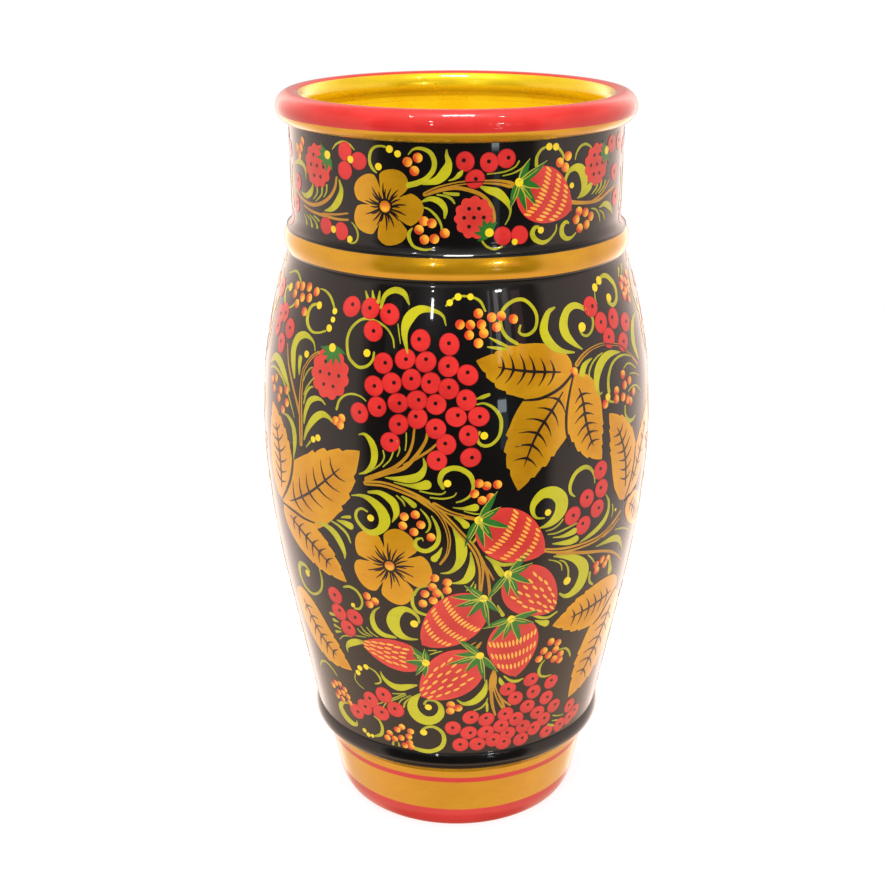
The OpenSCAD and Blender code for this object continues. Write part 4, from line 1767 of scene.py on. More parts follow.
    Stroke(((-14, 156, 0.2), (-14.6, 158, 0.4), (-16.3, 160, 0.3))),
    Stroke(((-9.8, 155.5, 0.2), (-8, 152.5, 0.5), (-7.2, 149.5, 0.5), (-7.6, 147, 0.4),
        (-8.5, 145.8, 0.2))),
    Stroke(((-6.8, 153, 0.2), (-5.5, 149.5, 0.6), (-4.8, 145, 0.8), (-5.5, 141, 0.9), (-7.8, 138.3, 0.9),
        (-10, 138.3, 0.9), (-11.4, 140.3, 0.8), (-11, 142.7, 0.6), (-9.5, 143.4, 0.4),
        (-9.2, 142.2, 0.2))),
    Stroke(((-6.2, 134.9, 1.4), (-5, 137, 0.9), (-4, 139.9, 0.2))),
    Stroke(((-1, 148, 0.2), (0.4, 144, 1.1), (1.4, 139.5, 2.1), (1.2, 135, 1.8), (0, 131.5, 1.2),
        (-2, 129.2, 0.6), (-4.5, 128.7, 0.2))),
    Stroke(((3.9, 138, 0.2), (4.3, 133.5, 0.9), (4, 129, 1.7), (2.8, 126, 1.5), (1, 124.8, 0.8),
        (-1, 124.5, 0.3), (-4, 124.5, 0.2))),
    Stroke(((5, 125, 0.2), (4, 122.5, 0.3), (2.8, 121, 0.2))),
    Stroke(((5.5, 124, 0.2), (5.2, 121.5, 0.5), (4.8, 120, 0.4))),
    Stroke(((5, 156.4, 1.5), (3.5, 156.2, 1.1), (1.5, 156.1, 0.5), (-1, 156.5, 0.2))),
    Stroke(((2.6, 149.2, 1.4), (1.4, 151, 1), (-0.5, 152.6, 0.3))),
    Stroke(((7.5, 153.8, 0.2), (5, 153.8, 0.3), (2, 155, 0.2))),
    Stroke(((6.2, 150, 0.4), (5.9, 146.5, 0.5), (5.5, 144, 0.5), (4.4, 141.7, 0.4))),
    Stroke(((16.8, 131.5, 0.5), (13, 131.7, 0.8), (10.5, 133.5, 0.7), (8, 136, 0.2))),
    Stroke(((8.3, 135.5, 0.2), (10.2, 133, 0.6), (11.8, 130, 1.2), (13, 127.5, 1.2))),
    Stroke(((24.8, 149.2, 0.3), (22.5, 149.8, 0.5), (21.2, 152.5, 0.9), (21.5, 156, 1.4), (24, 159.3, 2),
        (27.5, 159, 2.5), (30, 155.5, 2.8), (30, 151, 2.7), (28, 147.5, 1.8), (25.5, 145.8, 0.9),
        (23.7, 145.4, 0.3)), ((25.9, 151.3, 1.6),)),
    Stroke(((34.5, 155.5, 0.3), (33, 157.5, 0.6), (32.8, 161, 0.8), (34.5, 165, 0.9), (37.5, 166.5, 0.9),
        (40, 165, 0.7), (41.5, 161.5, 0.4), (41.8, 158.5, 0.2))),
    Stroke(((31, 147, 0.3), (29.5, 145, 0.4), (27.5, 143.8, 0.35), (25.5, 143.6, 0.2))),
    Stroke(((36, 143.8, 0.3), (32.5, 142.8, 0.4), (29, 141.8, 0.35), (26.2, 142, 0.2))),
    Stroke(((35.3, 140.7, 1.4), (33, 140, 1), (30.5, 139.8, 0.5), (28, 140.2, 0.2))),
    Stroke(((28, 137.5, 0.2), (31, 136.9, 0.8), (34, 136.5, 1.3), (36.2, 137, 1.5))),
    Stroke(((29, 131.8, 0.3), (33, 130.3, 0.9), (37, 128, 1.7), (40.3, 124, 2.5), (41.3, 119.5, 2.8),
        (40, 114.8, 2.6), (37, 112.2, 1.5), (34.5, 112.3, 0.8), (32.6, 114, 0.4)), ((34.8, 119, 2.1),)),
    Stroke(((35, 121, 0.5), (34.6, 124.5, 0.4), (33, 128, 0.35), (31, 129.5, 0.2))),
    Stroke(((27.2, 130.8, 0.2), (30, 129.3, 0.3), (31.8, 127.3, 0.3), (32.3, 124.5, 0.2))),
    Stroke(((23.5, 107, 0.3), (26.5, 105, 0.6), (29.5, 104.1, 0.6), (32.5, 105.7, 0.4))),
    Stroke(((29, 101.5, 1.5), (27, 102.5, 1), (25, 104, 0.3))),
    Stroke(((47, 152, 0.2), (48.7, 148.5, 0.6), (49, 144.5, 0.8), (47.8, 141, 1.2), (45, 138.3, 1.2),
        (41.5, 136.4, 0.9), (38, 135, 0.3))),
    Stroke(((50.8, 146.2, 0.3), (51.5, 143, 0.4), (51, 140.5, 0.2)), ((52.9, 143, 0.8),)),
    Stroke(((45, 130.2, 0.2), (49, 130.3, 0.8), (53.5, 130, 1.4), (57.5, 128, 1.3), (60.5, 124, 0.7),
        (61.8, 121, 0.3))),
    Stroke(((54, 133.7, 0.2), (58, 132.5, 0.4), (62, 130.5, 0.4), (66, 127.5, 0.3))),
    Stroke(((42, 127.8, 0.3), (44, 125.5, 0.4), (45.5, 123, 0.3))),
    Stroke(((44.2, 119, 0.6), (44.6, 115, 0.6), (46.5, 112.7, 0.5))),
    Stroke(((55.5, 114.5, 1.6), (54.6, 118, 1), (53.8, 121.5, 0.4))),
    # lower
    Stroke(((-45.7, 120, 0.3), (-45.3, 115.5, 0.6), (-46.5, 110.5, 0.6), (-49.5, 107, 0.6),
        (-53, 105.7, 0.6), (-56.5, 107.5, 0.8), (-58.2, 111.5, 1), (-57.8, 115, 1.2), (-56, 117.8, 1),
        (-53.3, 118, 0.8), (-51.5, 116.2, 0.6)), ((-52.8, 114.8, 1.8),)),
    Stroke(((-44, 100.3, 0.8), (-42, 100.4, 0.5), (-41, 100.3, 0.2))),
    Stroke(((-43, 97.8, 0.8), (-42, 97.8, 0.6), (-41, 97.7, 0.3))),
    Stroke(((-43, 95.2, 0.7), (-42, 95, 0.5), (-40.5, 94.5, 0.3))),
    Stroke(((-42.8, 92.3, 0.7), (-41.8, 92.8, 0.5), (-40.5, 93.2, 0.3))),
    Stroke(((-42, 89, 0.2), (-40, 91.3, 0.3), (-38, 92.3, 0.3), (-36, 92.6, 0.2))),
    Stroke(((-39, 84, 0.2), (-39, 86.5, 0.7), (-37.2, 89, 1.4), (-34, 91, 1.4), (-30.5, 92, 0.4))),
    Stroke(((-36, 115.8, 0.4), (-33.8, 116.8, 0.6), (-31.5, 116, 0.6), (-30, 113.5, 0.6),
        (-29.7, 110.5, 0.5), (-31, 107.6, 0.5), (-32.8, 107.2, 0.5)), ((-33.3, 108.5, 1.2),)),
    Stroke(((-23.7, 110.5, 0.2), (-25.8, 108, 0.6), (-26.8, 104, 1.1), (-26, 100, 1.3),
        (-23.5, 97.8, 1.1), (-20, 97.5, 0.6), (-19, 97.3, 0.2))),
    Stroke(((-12.2, 97.9, 0.3), (-15, 97.8, 0.8), (-18, 99.5, 1.8), (-19.7, 104, 2.7),
        (-18.7, 108.5, 2.4), (-16, 111.3, 1.4), (-13.5, 110.7, 0.9), (-11.6, 108.2, 0.6),
        (-11.4, 106, 0.5)), ((-12.9, 105.1, 1.9),)),
    Stroke(((-12.5, 118.5, 0.7), (-11, 121.5, 0.5), (-8.5, 122.8, 0.4), (-6, 122.2, 0.3),
        (-4.3, 119.5, 0.5), (-4, 116.5, 0.5), (-5, 114.3, 0.3))),
    Stroke(((-13, 118, 0.7), (-13, 114, 0.7), (-11.8, 111, 0.7), (-9.5, 109.8, 0.6), (-7.8, 109.7, 0.4))),
    Stroke(((-29.3, 99.7, 0.2), (-28, 97.5, 0.3), (-25.5, 96, 0.2))),
    Stroke(((-31.5, 99.3, 0.25), (-30, 97, 0.35), (-27.5, 95.8, 0.2))),
    Stroke(((-33, 97.5, 0.3), (-31.5, 96, 0.4), (-28.5, 95.3, 0.2))),
    Stroke(((-34.5, 93.8, 0.2), (-32, 94.3, 0.3), (-30, 94.6, 0.2))),
    Stroke(((-8.5, 91, 0.2), (-6, 92.5, 0.3), (-4.5, 93, 0.2))),
    Stroke(((-9, 93, 0.2), (-6.5, 93.2, 0.3))),
    Stroke(((-31, 79.8, 0.3), (-28.5, 78.5, 0.4), (-27, 76, 0.5), (-26.8, 74, 0.4), (-28, 72.8, 0.4),
        (-29.2, 72.3, 0.3)), ((-36, 75.3, 1.5), (-34.8, 78, 1.5), (-32, 79.6, 1.5))),
    Stroke(((-37.5, 74, 0.3), (-38, 71, 0.3), (-36, 68.5, 0.3), (-34.5, 67.8, 0.2))),
    Stroke(((14, 109, 0.8), (13.2, 111, 0.6), (12.3, 113.5, 0.3))),
    Stroke(((30.7, 83.5, 0.2), (29.3, 81.5, 0.5), (28.9, 78.5, 0.7), (29.8, 76, 0.6), (32, 74.9, 0.5),
        (34.3, 74.9, 0.3))),
    Stroke(((36, 86.5, 0.3), (39, 85.9, 0.5), (41, 83.5, 0.5), (42, 81, 0.4))),
    Stroke(((-26.3, 79, 0.3), (-25.3, 76, 0.8), (-22.5, 73.5, 1.3), (-19.5, 73.1, 1.6), (-16, 74.5, 1.1),
        (-13.5, 75.5, 0.4))),
    Stroke(((-12.3, 71.5, 0.4), (-14.5, 68.5, 1.4), (-15.7, 64.5, 2.2), (-14.5, 60.5, 2.5),
        (-11.5, 58.2, 2.3), (-8, 58.8, 1.9), (-5.8, 61.5, 1.6), (-5.4, 65, 1.1), (-6.5, 67.6, 0.7),
        (-8.5, 68.6, 0.5), (-10.5, 68.1, 0.5), (-11.2, 66.5, 0.6)), ((-9.9, 65, 1.7),)),
    Stroke(((-23, 69.3, 0.2), (-20.5, 69.8, 0.3), (-18, 70.6, 0.2))),
    Stroke(((-24, 65, 0.2), (-21, 67.3, 0.3), (-17.5, 70, 0.2))),
    Stroke(((-21, 64.3, 0.2), (-19.5, 67, 0.3), (-16, 70, 0.2))),
    Stroke(((-18.9, 63.5, 0.4), (-18.2, 66, 0.4), (-15.5, 69.7, 0.2))),
    Stroke(((-29.5, 62, 0.2), (-26, 64.5, 0.3), (-22, 67.5, 0.3), (-18, 70.5, 0.3))),
    Stroke(((-27.3, 61, 0.2), (-26, 63.5, 0.3), (-24, 65.5, 0.2))),
    Stroke(((-24.7, 45, 0.3), (-25.1, 43, 0.6))),
    Stroke(((-22.7, 44.5, 0.3), (-22.5, 43, 0.5))),
    Stroke(((-16, 43, 0.9), (-13, 42.4, 1), (-9.5, 42.6, 1), (-6, 44.8, 1), (-4.6, 48.5, 0.9),
        (-5.2, 52.5, 0.8), (-7.8, 55, 0.7), (-10.5, 54.9, 0.6), (-12.6, 53.2, 0.5)),
        ((-12.2, 51.9, 1.8),)),
    Stroke(((-44.5, 56.5, 0.3), (-48, 55, 0.8), (-50, 52, 1.6), (-48.5, 48.5, 2), (-45, 46.5, 1.5),
        (-42, 46.8, 0.8), (-41.5, 48.5, 0.4))),
    Stroke(((-33, 44.5, 0.5), (-30, 46.5, 0.8), (-29, 50, 0.7), (-29.8, 53.5, 0.5), (-32, 55, 0.3)),
        ((-38, 45.5, 1.3), (-36.3, 44, 1.3), (-34.3, 44.2, 1.1))),
    Stroke(((-59, 68, 0.4), (-57, 71, 0.6), (-53.5, 72.5, 0.6), (-50, 71, 0.5), (-48, 68.5, 0.3))),
    Stroke(((0.3, 69.2, 0.3), (2.5, 67.3, 0.8), (6, 68.2, 1.5), (8.8, 71.5, 1.6), (9.8, 75, 0.9),
        (10, 78.5, 0.3))),
    Stroke(((6, 63.7, 0.2), (8.5, 64.7, 0.4), (10.2, 67, 0.35), (10.8, 69.5, 0.2))),
    Stroke(((10.9, 63, 0.5), (10.7, 66, 0.5), (10.5, 68, 0.2))),
    Stroke(((14.5, 79, 0.3), (15, 77, 0.9), (16, 75.2, 0.8))),
    Stroke(((16, 79.5, 0.3), (18.5, 76.8, 0.6), (21, 76, 0.7), (23, 76.7, 0.3))),
    Stroke(((39, 52.7, 0.3), (42, 51.3, 0.3), (45, 50.7, 0.2))),
    Stroke(((37, 49, 0.3), (39.5, 47.5, 0.6), (41, 46.8, 0.4))),
    Stroke(((39, 50, 0.2), (42, 49, 0.4), (44, 48, 0.3))),
)
NECK_STEMS: tuple[Stem, ...] = (
    Stem(((-70, 265, 0.5), (-64, 262.5, 0.6), (-57, 261.3, 0.7), (-51, 262.5, 0.7), (-46, 265.5, 0.7),
        (-43, 269.5, 0.6), (-42, 273.5, 0.5))),
    Stem(((-62, 260, 0.4), (-56, 258.8, 0.5), (-48, 258.4, 0.6), (-42, 258.2, 0.5), (-37.5, 258.6, 0.4))),
    Stem(((-50, 259, 0.4), (-43, 259.8, 0.4), (-37.5, 261, 0.3))),
    Stem(((-10, 270.3, 0.7), (-7, 272, 0.7), (-3, 273.4, 0.7), (1, 274.3, 0.7), (5, 274.7, 0.7),
        (8, 274.7, 0.7), (13, 274.4, 1), (17, 273.4, 1.3), (18.5, 273, 0.8))),
    Stem(((-10, 270, 0.6), (-5, 271.8, 0.6), (0, 272.7, 0.7), (5, 271.5, 0.7), (8.5, 269.5, 0.7),
        (11, 266, 0.7), (12, 262, 0.6), (12, 260, 0.4))),
    Stem(((40, 264.8, 0.8), (44, 264, 0.7), (50, 263.3, 0.6), (55, 263.5, 0.6), (60, 265, 0.6),
        (66, 266.5, 0.5))),
    Stem(((50, 263.5, 0.4), (55, 265, 0.4), (59, 267.5, 0.4), (61.5, 270, 0.3))),
)
NECK_STROKES: tuple[Stroke, ...] = (
    Stroke(((-43.6, 283.5, 0.2), (-41.5, 285.8, 0.4), (-38.5, 286.9, 0.4), (-35.8, 286, 0.4),
        (-34, 284.3, 0.2))),
    Stroke(((-70, 274.5, 0.4), (-65.5, 276, 1), (-61.5, 275.5, 1), (-59.8, 273.5, 0.7),
        (-59.6, 270.5, 0.3))),
    Stroke(((-63.5, 264.6, 0.3), (-60, 264, 1), (-56.5, 265.8, 1.2), (-55, 268.5, 0.6),
        (-55, 269.8, 0.2))),
    Stroke(((-52.3, 268, 0.5), (-52.5, 266, 0.4), (-55, 263.5, 0.2))),
    Stroke(((-49.4, 268.5, 0.5), (-50, 266, 0.4), (-53.5, 263, 0.2))),
    Stroke(((-46.9, 270, 0.5), (-47.2, 267.5, 0.4), (-48.8, 265.3, 0.2))),
    Stroke(((-48.5, 260.3, 0.2), (-44.5, 261.8, 1.1), (-41.5, 265, 1.5), (-40, 269, 1),
        (-40.8, 272.8, 0.3))),
    Stroke(((-60.3, 253.3, 0.6), (-61, 255.5, 0.4), (-62.5, 256.6, 0.2))),
    Stroke(((-56.5, 253.2, 0.7), (-57.5, 255.5, 0.4), (-60.5, 257, 0.2))),
    Stroke(((-53.2, 253.3, 0.7), (-54, 255.3, 0.4), (-58, 257.3, 0.2))),
    Stroke(((-52, 256, 0.5), (-53.5, 256.8, 0.4), (-55, 257.3, 0.3))),
    Stroke(((-36, 258, 0.2), (-34.2, 256, 0.4), (-33.5, 253.5, 0.4), (-34.2, 251, 0.4), (-36, 250.3, 0.3),
        (-37.5, 251, 0.4)), ((-36.8, 251.6, 1.5),)),
    Stroke(((-26, 277, 0.3), (-27.5, 278.5, 0.6), (-28.4, 281, 0.6), (-28, 284, 0.6), (-26.5, 286, 0.5),
        (-24.2, 286.6, 0.4), (-22.8, 286.4, 0.4)), ((-25.2, 279.2, 1.6), (-21.3, 285.7, 1.6),
        (-18.6, 284.2, 1.5))),
    Stroke(((-15.2, 284, 0.2), (-13.5, 286, 0.4), (-11, 286.4, 0.6), (-8.3, 285.2, 0.8),
        (-6.9, 282.3, 0.9), (-7.2, 279, 0.9), (-9.3, 276, 0.9), (-12, 274.3, 1), (-15.3, 273.2, 1))),
    Stroke(((-3, 286.3, 0.2), (-3, 284, 0.7), (-2.4, 281.5, 1.2), (-3.4, 278.3, 1.9), (-5.8, 275.5, 1.5),
        (-8.5, 274.5, 0.9), (-10.5, 273.8, 0.3))),
    Stroke(((-11, 267.5, 0.3), (-8, 268.7, 0.9), (-5, 267.5, 1.2), (-3.5, 264.8, 0.9), (-3.7, 262, 0.4))),
    Stroke(((-10.7, 265.6, 0.2), (-8.5, 264.8, 0.4), (-6, 262, 0.5), (-4.7, 258.8, 0.4),
        (-4.8, 256, 0.3))),
    Stroke(((-14, 258, 0.2), (-15.2, 256, 0.7), (-15, 253.5, 0.7), (-13.5, 251.2, 0.5), (-10, 250.3, 0.4),
        (-7.5, 250.8, 0.2))),
    Stroke(((-6, 270.2, 0.3), (-3.5, 269.8, 0.4), (-1.6, 268.8, 0.5), (-0.6, 267.2, 0.3))),
    Stroke(((-4, 270.9, 0.3), (-1.5, 270.5, 0.6), (0.5, 270.4, 0.6))),
    Stroke(((-2.5, 275.2, 0.2), (-0.5, 276, 0.5), (1, 277.5, 0.9), (1.8, 278.6, 0.4))),
    Stroke(((19.9, 281.5, 0.3), (18.5, 279.5, 0.3), (15, 278, 0.3), (9.5, 277.4, 0.2))),
    Stroke(((23, 281.3, 0.3), (21, 279, 0.35), (18, 277.4, 0.3), (14.5, 276.6, 0.2))),
    Stroke(((7, 273.3, 0.2), (10, 271.8, 1.2), (13.3, 270.4, 1.6), (16, 267.3, 1.1), (17.2, 264.3, 0.5),
        (16.8, 261.5, 0.3), (15.5, 259, 0.2))),
    Stroke(((8.2, 253.3, 0.4), (9.5, 251.5, 0.4), (12, 250.4, 0.4), (14.5, 251.2, 0.3))),
    Stroke(((34, 257.5, 0.2), (33.8, 255, 0.4), (31.5, 252.3, 0.5), (28.5, 251.4, 0.8), (25.8, 253, 1),
        (24.9, 255.3, 1), (25.8, 257.2, 0.7), (27, 257.2, 0.6)), ((28, 256, 1.5),)),
    Stroke(((25.9, 279.5, 0.7), (26, 282.5, 0.6), (27.5, 285, 0.5), (29, 285.8, 0.4)),
        ((30.4, 285.9, 1.6), (33, 285.6, 1.6))),
    Stroke(((34.3, 284.8, 0.5), (35.8, 282.8, 0.5), (36.2, 281, 0.3))),
    Stroke(((41.2, 280, 0.2), (41.8, 282.5, 0.4), (43.5, 284.6, 0.5), (46, 285.2, 0.5), (48.5, 284, 0.4),
        (49.5, 282.8, 0.2))),
    Stroke(((43.5, 266.2, 0.3), (45.5, 268.5, 1.2), (46, 272, 2), (44.5, 275.8, 2), (41.5, 277.3, 1.3),
        (38.5, 276, 0.8), (37.2, 273, 0.6), (37.7, 270, 0.6), (39, 268.7, 0.4)), ((40, 270.9, 1.3),)),
    Stroke(((43, 266, 0.3), (46, 267, 0.9), (48.5, 269, 1.4), (49.5, 270, 1))),
    Stroke(((50, 266.2, 0.2), (52.5, 268, 0.4), (53.2, 269.2, 0.5))),
    Stroke(((52, 266, 0.2), (55, 268, 0.4), (55.8, 270.3, 0.5))),
    Stroke(((54, 265.8, 0.2), (57.5, 268, 0.4), (58.5, 270, 0.4))),
    Stroke(((55, 260.5, 0.3), (58.5, 261.2, 1), (62, 259.8, 1.3), (64.5, 257.5, 0.7),
        (65.5, 255.5, 0.2))),
    Stroke(((50, 261, 0.2), (53, 260, 0.4), (55, 257.5, 0.4), (55.8, 254.8, 0.2))),
    Stroke(((55, 259.5, 0.2), (57.5, 258, 0.35), (59, 255.5, 0.3))),
    Stroke(((42.5, 253, 0.3), (40.5, 251.7, 0.5), (38, 251.7, 0.9), (36.3, 253.8, 1.1),
        (36.5, 256.5, 0.9), (38, 257.8, 0.7), (39, 257.2, 0.4))),
)


# ---------------------------------------------------------------- how the ornament is composed


class Ornament:
    """Everything painted on one skin."""

    prefix = ""

    def __init__(self, skin: Skin) -> None:
        """Opens the paints for a skin."""
        self.painter = Painter(self.prefix, skin)

    def groups(self) -> list[tuple[tuple[float, ...], list]]:
        """Groups of motifs, each with the turns at which it is repeated."""
        raise NotImplementedError

    def build(self, lacquerer: Lacquerer) -> None:
        """Paints every motif and lays the films.

        Args:
            lacquerer: Maker of materials.
        """
        for turns, motifs in self.groups():
            self.painter.turns = turns
            for motif in motifs:
                motif.paint(self.painter)
        self.painter.lay(lacquerer)


class BarrelOrnament(Ornament):
    """Berries, leaves, strawberries and a flower on the barrel."""

    prefix = "barrel"

    def leaves(self) -> list[Leaf]:
        """Leaves of the front, each from its base to its tip."""
        return [
            Leaf(((34.3, 204), (27, 205.5), (20, 206.8), (12, 209), (5.5, 211.7)), 10.2),
            Leaf(((33.4, 202.5), (28.5, 194), (22.5, 184), (18.8, 173), (16.8, 162)), 12.0),
            Leaf(((34.5, 202.5), (37, 194), (38.2, 184), (40.5, 175), (44.3, 167.5)), 9.2),
            Leaf(((56.9, 145.5), (57.3, 153), (56, 164), (52.5, 175), (47.6, 184.7)), 9.8),
            Leaf(((59.5, 147), (64, 155), (68, 164), (71.5, 172), (74.5, 180)), 7.0, 5),
            Leaf(((59.5, 143), (64, 140), (68.5, 136), (73, 131.5), (77, 128)), 6.5, 5),
            Leaf(((64, 104), (56, 102.8), (48, 101.8), (40, 100.8), (31.6, 99.5)), 10.2),
            Leaf(((64.5, 101.5), (61.5, 91), (57.5, 80), (52, 69), (46, 58.7)), 13.2),
            Leaf(((-62.9, 143), (-61.5, 152), (-61.2, 162), (-63, 173), (-66.3, 183)), 11.0),
            Leaf(((-62, 142.5), (-54, 146.7), (-45.3, 153.7), (-36, 164.2), (-27, 175.7)), 14.0),
            Leaf(((-62, 141), (-54, 135.5), (-46.5, 130), (-40, 124), (-34.6, 118.5)), 9.2),
            Leaf(((-62.5, 104), (-58.5, 96.5), (-53, 87), (-46.5, 80.5), (-38.8, 75.3)), 9.8),
        ]

    def leaf_gaps(self) -> list[Stroke]:
        """Dark lines that part neighbouring leaves."""
        paths = (
            ((34, 203.2, 0.5), (30.5, 199.7, 0.6), (27, 197.6, 0.6), (23, 196.3, 0.55), (18.5, 196.4, 0.3)),
            ((34.3, 202.5, 0.4), (32.6, 196, 0.5), (31.4, 189, 0.6), (31.3, 182, 0.5), (32.5, 176, 0.2)),
            ((-62.3, 143.5, 0.4), (-58.3, 149, 0.6), (-55, 155.5, 0.7), (-53.2, 163, 0.6), (-53.5, 170, 0.2)),
            ((-61.7, 141.8, 0.4), (-56, 141.4, 0.6), (-50, 140.6, 0.5), (-45, 140.6, 0.3)),
            ((63.8, 102.9, 0.4), (59.5, 99, 0.6), (55.5, 94, 0.6), (51.5, 91.5, 0.2)),
            ((58.3, 146, 0.3), (60.8, 152, 0.5), (62.3, 159, 0.5), (62.8, 166, 0.2)),
            ((58.5, 144.3, 0.3), (62.5, 145.8, 0.5), (66.5, 147, 0.2)),
        )
        return [Stroke(path, kind=Paint.VEIN) for path in paths]

    def strawberries(self) -> list[Strawberry]:
        """Strawberries of the front."""
        rows, drops = SeedStyle.ROWS, SeedStyle.DROPS
        return [
            Strawberry((6, 151.2), (25.6, 134.5), 10.8, rows),
            Strawberry((14.8, 127.3), (31.6, 107.3), 10.6, drops),
            Strawberry((7.9, 117.3), (-11.1, 95.7), 10.6, rows),
            Strawberry((16.8, 106.7), (20.2, 78.7), 11.0, rows),
            Strawberry((-9.9, 87), (-31.6, 91.2), 7.2, drops),
            Strawberry((7.5, 90.7), (-12.6, 70.3), 10.8, drops),
        ]

    def sides(self) -> list:
        """Motifs that fill the gap between the front and the back."""
        bunch = [(a, 214 + 2 * (a == 0)) for a in (-6, 0, 6)] + [(a, 208) for a in (-9, -3, 3, 9)]
        bunch += [(-5.5, 201.5), (0.5, 202), (6, 201.5), (-2.5, 195.5), (3.5, 195.5), (0.5, 189.5)]
        low = [(-8, 72), (-2, 74), (5, 73), (-5, 66), (2, 67), (8, 66), (-1, 60), (5, 60), (-8, 60)]
        buds = [(-8, 226), (-5, 228), (-2, 226.5), (-4.5, 224), (5, 227), (8, 228), (7, 224.5), (10, 226)]
        buds += [(-9, 50), (-5, 48), (-2, 51), (3, 47), (6, 50), (9, 48)]
        pairs = ((13, 160), (11.5, 163), (14.2, 164), (13, 97), (15, 94))
        buds += [(way * a, z) for way in (-1, 1) for a, z in pairs]
        scrolls = (
            (
                ((2, 144, 0.3), (7, 148, 1.2), (10, 154, 1.8), (8.5, 160, 1.3), (5, 161.5, 0.7),
                 (3.5, 158.5, 0.5)),
                (5, 157, 1.9),
            ),
            (
                ((9, 133, 0.3), (12.5, 138, 0.8), (14, 144, 0.7), (12.5, 148.5, 0.5), (10.5, 147, 0.4)),
                (11, 145.5, 1.6),
            ),
            (((12, 232, 0.3), (15, 229, 0.6), (16, 223, 0.8), (14.5, 218, 0.4)), (13.6, 217, 1.5)),
            (((9.5, 187, 0.3), (12, 182, 1.2), (11, 176, 1.7), (8.5, 172, 0.5)), None),
            (((12, 118, 0.3), (11.5, 108, 1.3), (9, 101, 1.8), (6.5, 97, 0.4)), None),
            (((13, 88, 0.4), (10, 83, 1.4), (6, 80.5, 1.3), (3, 80.5, 0.3)), None),
            (((12, 220, 0.4), (12.5, 214, 0.9), (13, 207, 0.9), (11, 199, 0.4)), None),
            (((12.5, 62, 0.3), (14.5, 68, 1.1), (14.5, 75, 1.3), (12.5, 79, 0.4)), None),
            (((3, 233, 0.2), (5, 235, 0.8), (9, 236, 1.2), (12, 235, 0.3)), None),
        )
        curls = []
        for way in (-1, 1):
            for path, dot in scrolls:
                dots = ((way * dot[0], *dot[1:]),) if dot else ()
                curls.append(Stroke(tuple((way * a, z, width) for a, z, width in path), dots))
        stems = (
            Stem(((0, 140, 0.6), (0.5, 150, 1.1), (0, 158, 0.7))),
            Stem(((0, 186, 0.4), (-1, 192, 0.7), (0, 199, 0.6))),
            Stem(((0, 80, 0.4), (0.5, 76, 0.8), (0, 70, 0.6))),
        )
        fruit = [Flower(0, 127, 14.5), Raspberry(0, 171, 19, 19, 90), Strawberry((0, 107), (1, 83), 9.5)]
        return [*stems, *fruit, *curls, *(Berry(*p) for p in bunch + low), *(Bud(*p) for p in buds)]

    def groups(self) -> list[tuple[tuple[float, ...], list]]:
        """Front and back carry one composition and the sides a narrower one."""
        front: list = [*BARREL_STEMS, *self.leaves(), *self.leaf_gaps(), *BARREL_STROKES]
        front.append(Flower(-19.3, 130, 16.9, 66.0, 1.7))
        front += [Raspberry(-38.2, 202.5, 19, 19.5, 88)] + self.strawberries()
        front += [Berry(*p) for p in BARREL_BERRIES] + [Berry(*p, 3.4, 0.7) for p in LOW_BERRIES]
        front += [Bud(*p) for p in BARREL_BUDS] + [Bud(*p, 1.5) for p in SMALL_BUDS]
        return [(FRONT_AND_BACK, front), (BOTH_SIDES, self.sides())]


class NeckOrnament(Ornament):
    """Raspberries, a strawberry, a flower and berries on the neck."""

    prefix = "neck"

    def groups(self) -> list[tuple[tuple[float, ...], list]]:
        """Front and back carry one composition and the sides a narrower one."""
        front: list = [*NECK_STEMS, *NECK_STROKES, Flower(-23.2, 265, 14.4, 69.0, 1.8)]
        front += [Raspberry(-52, 276.5, 17, 16.5, 35), Raspberry(5.5, 262, 14.3, 15.8, -45)]
        front += [Raspberry(52.5, 277, 15.5, 16, 32), Strawberry((20, 274), (40, 262), 10.2)]
        front += [Berry(*p, 3.5) for p in NECK_BERRIES] + [Berry(*p, 3.4, 0) for p in BLIND_BERRIES]
        front += [Bud(*p, 1.8) for p in NECK_BUDS]
        dots = ((-35.7, 280.8, 1.6), (-44.2, 254.1, 1.6), (18.8, 252.6, 1.4))
        front.append(Stroke((), dots))
        twig = Stem(((-14, 262, 0.5), (-8, 256, 0.7), (0, 253, 0.6), (9, 256, 0.4)))
        berries = ((-12, 280), (-6, 283), (13, 279), (8, 283), (12, 252.5), (-12, 253))
        side: list = [Flower(0, 266, 11.5), twig, *(Berry(*place, 3.3) for place in berries)]
        side += [Stroke(((-15, 272, 0.3), (-13, 267, 1.2), (-13.5, 261, 1.3), (-16, 256, 0.3)))]
        side += [Stroke(((15, 273, 0.3), (13, 268, 1.2), (13.5, 262, 1.3), (16, 257, 0.3)))]
        return [(FRONT_AND_BACK, front), (BOTH_SIDES, side)]


# ---------------------------------------------------------------- studio


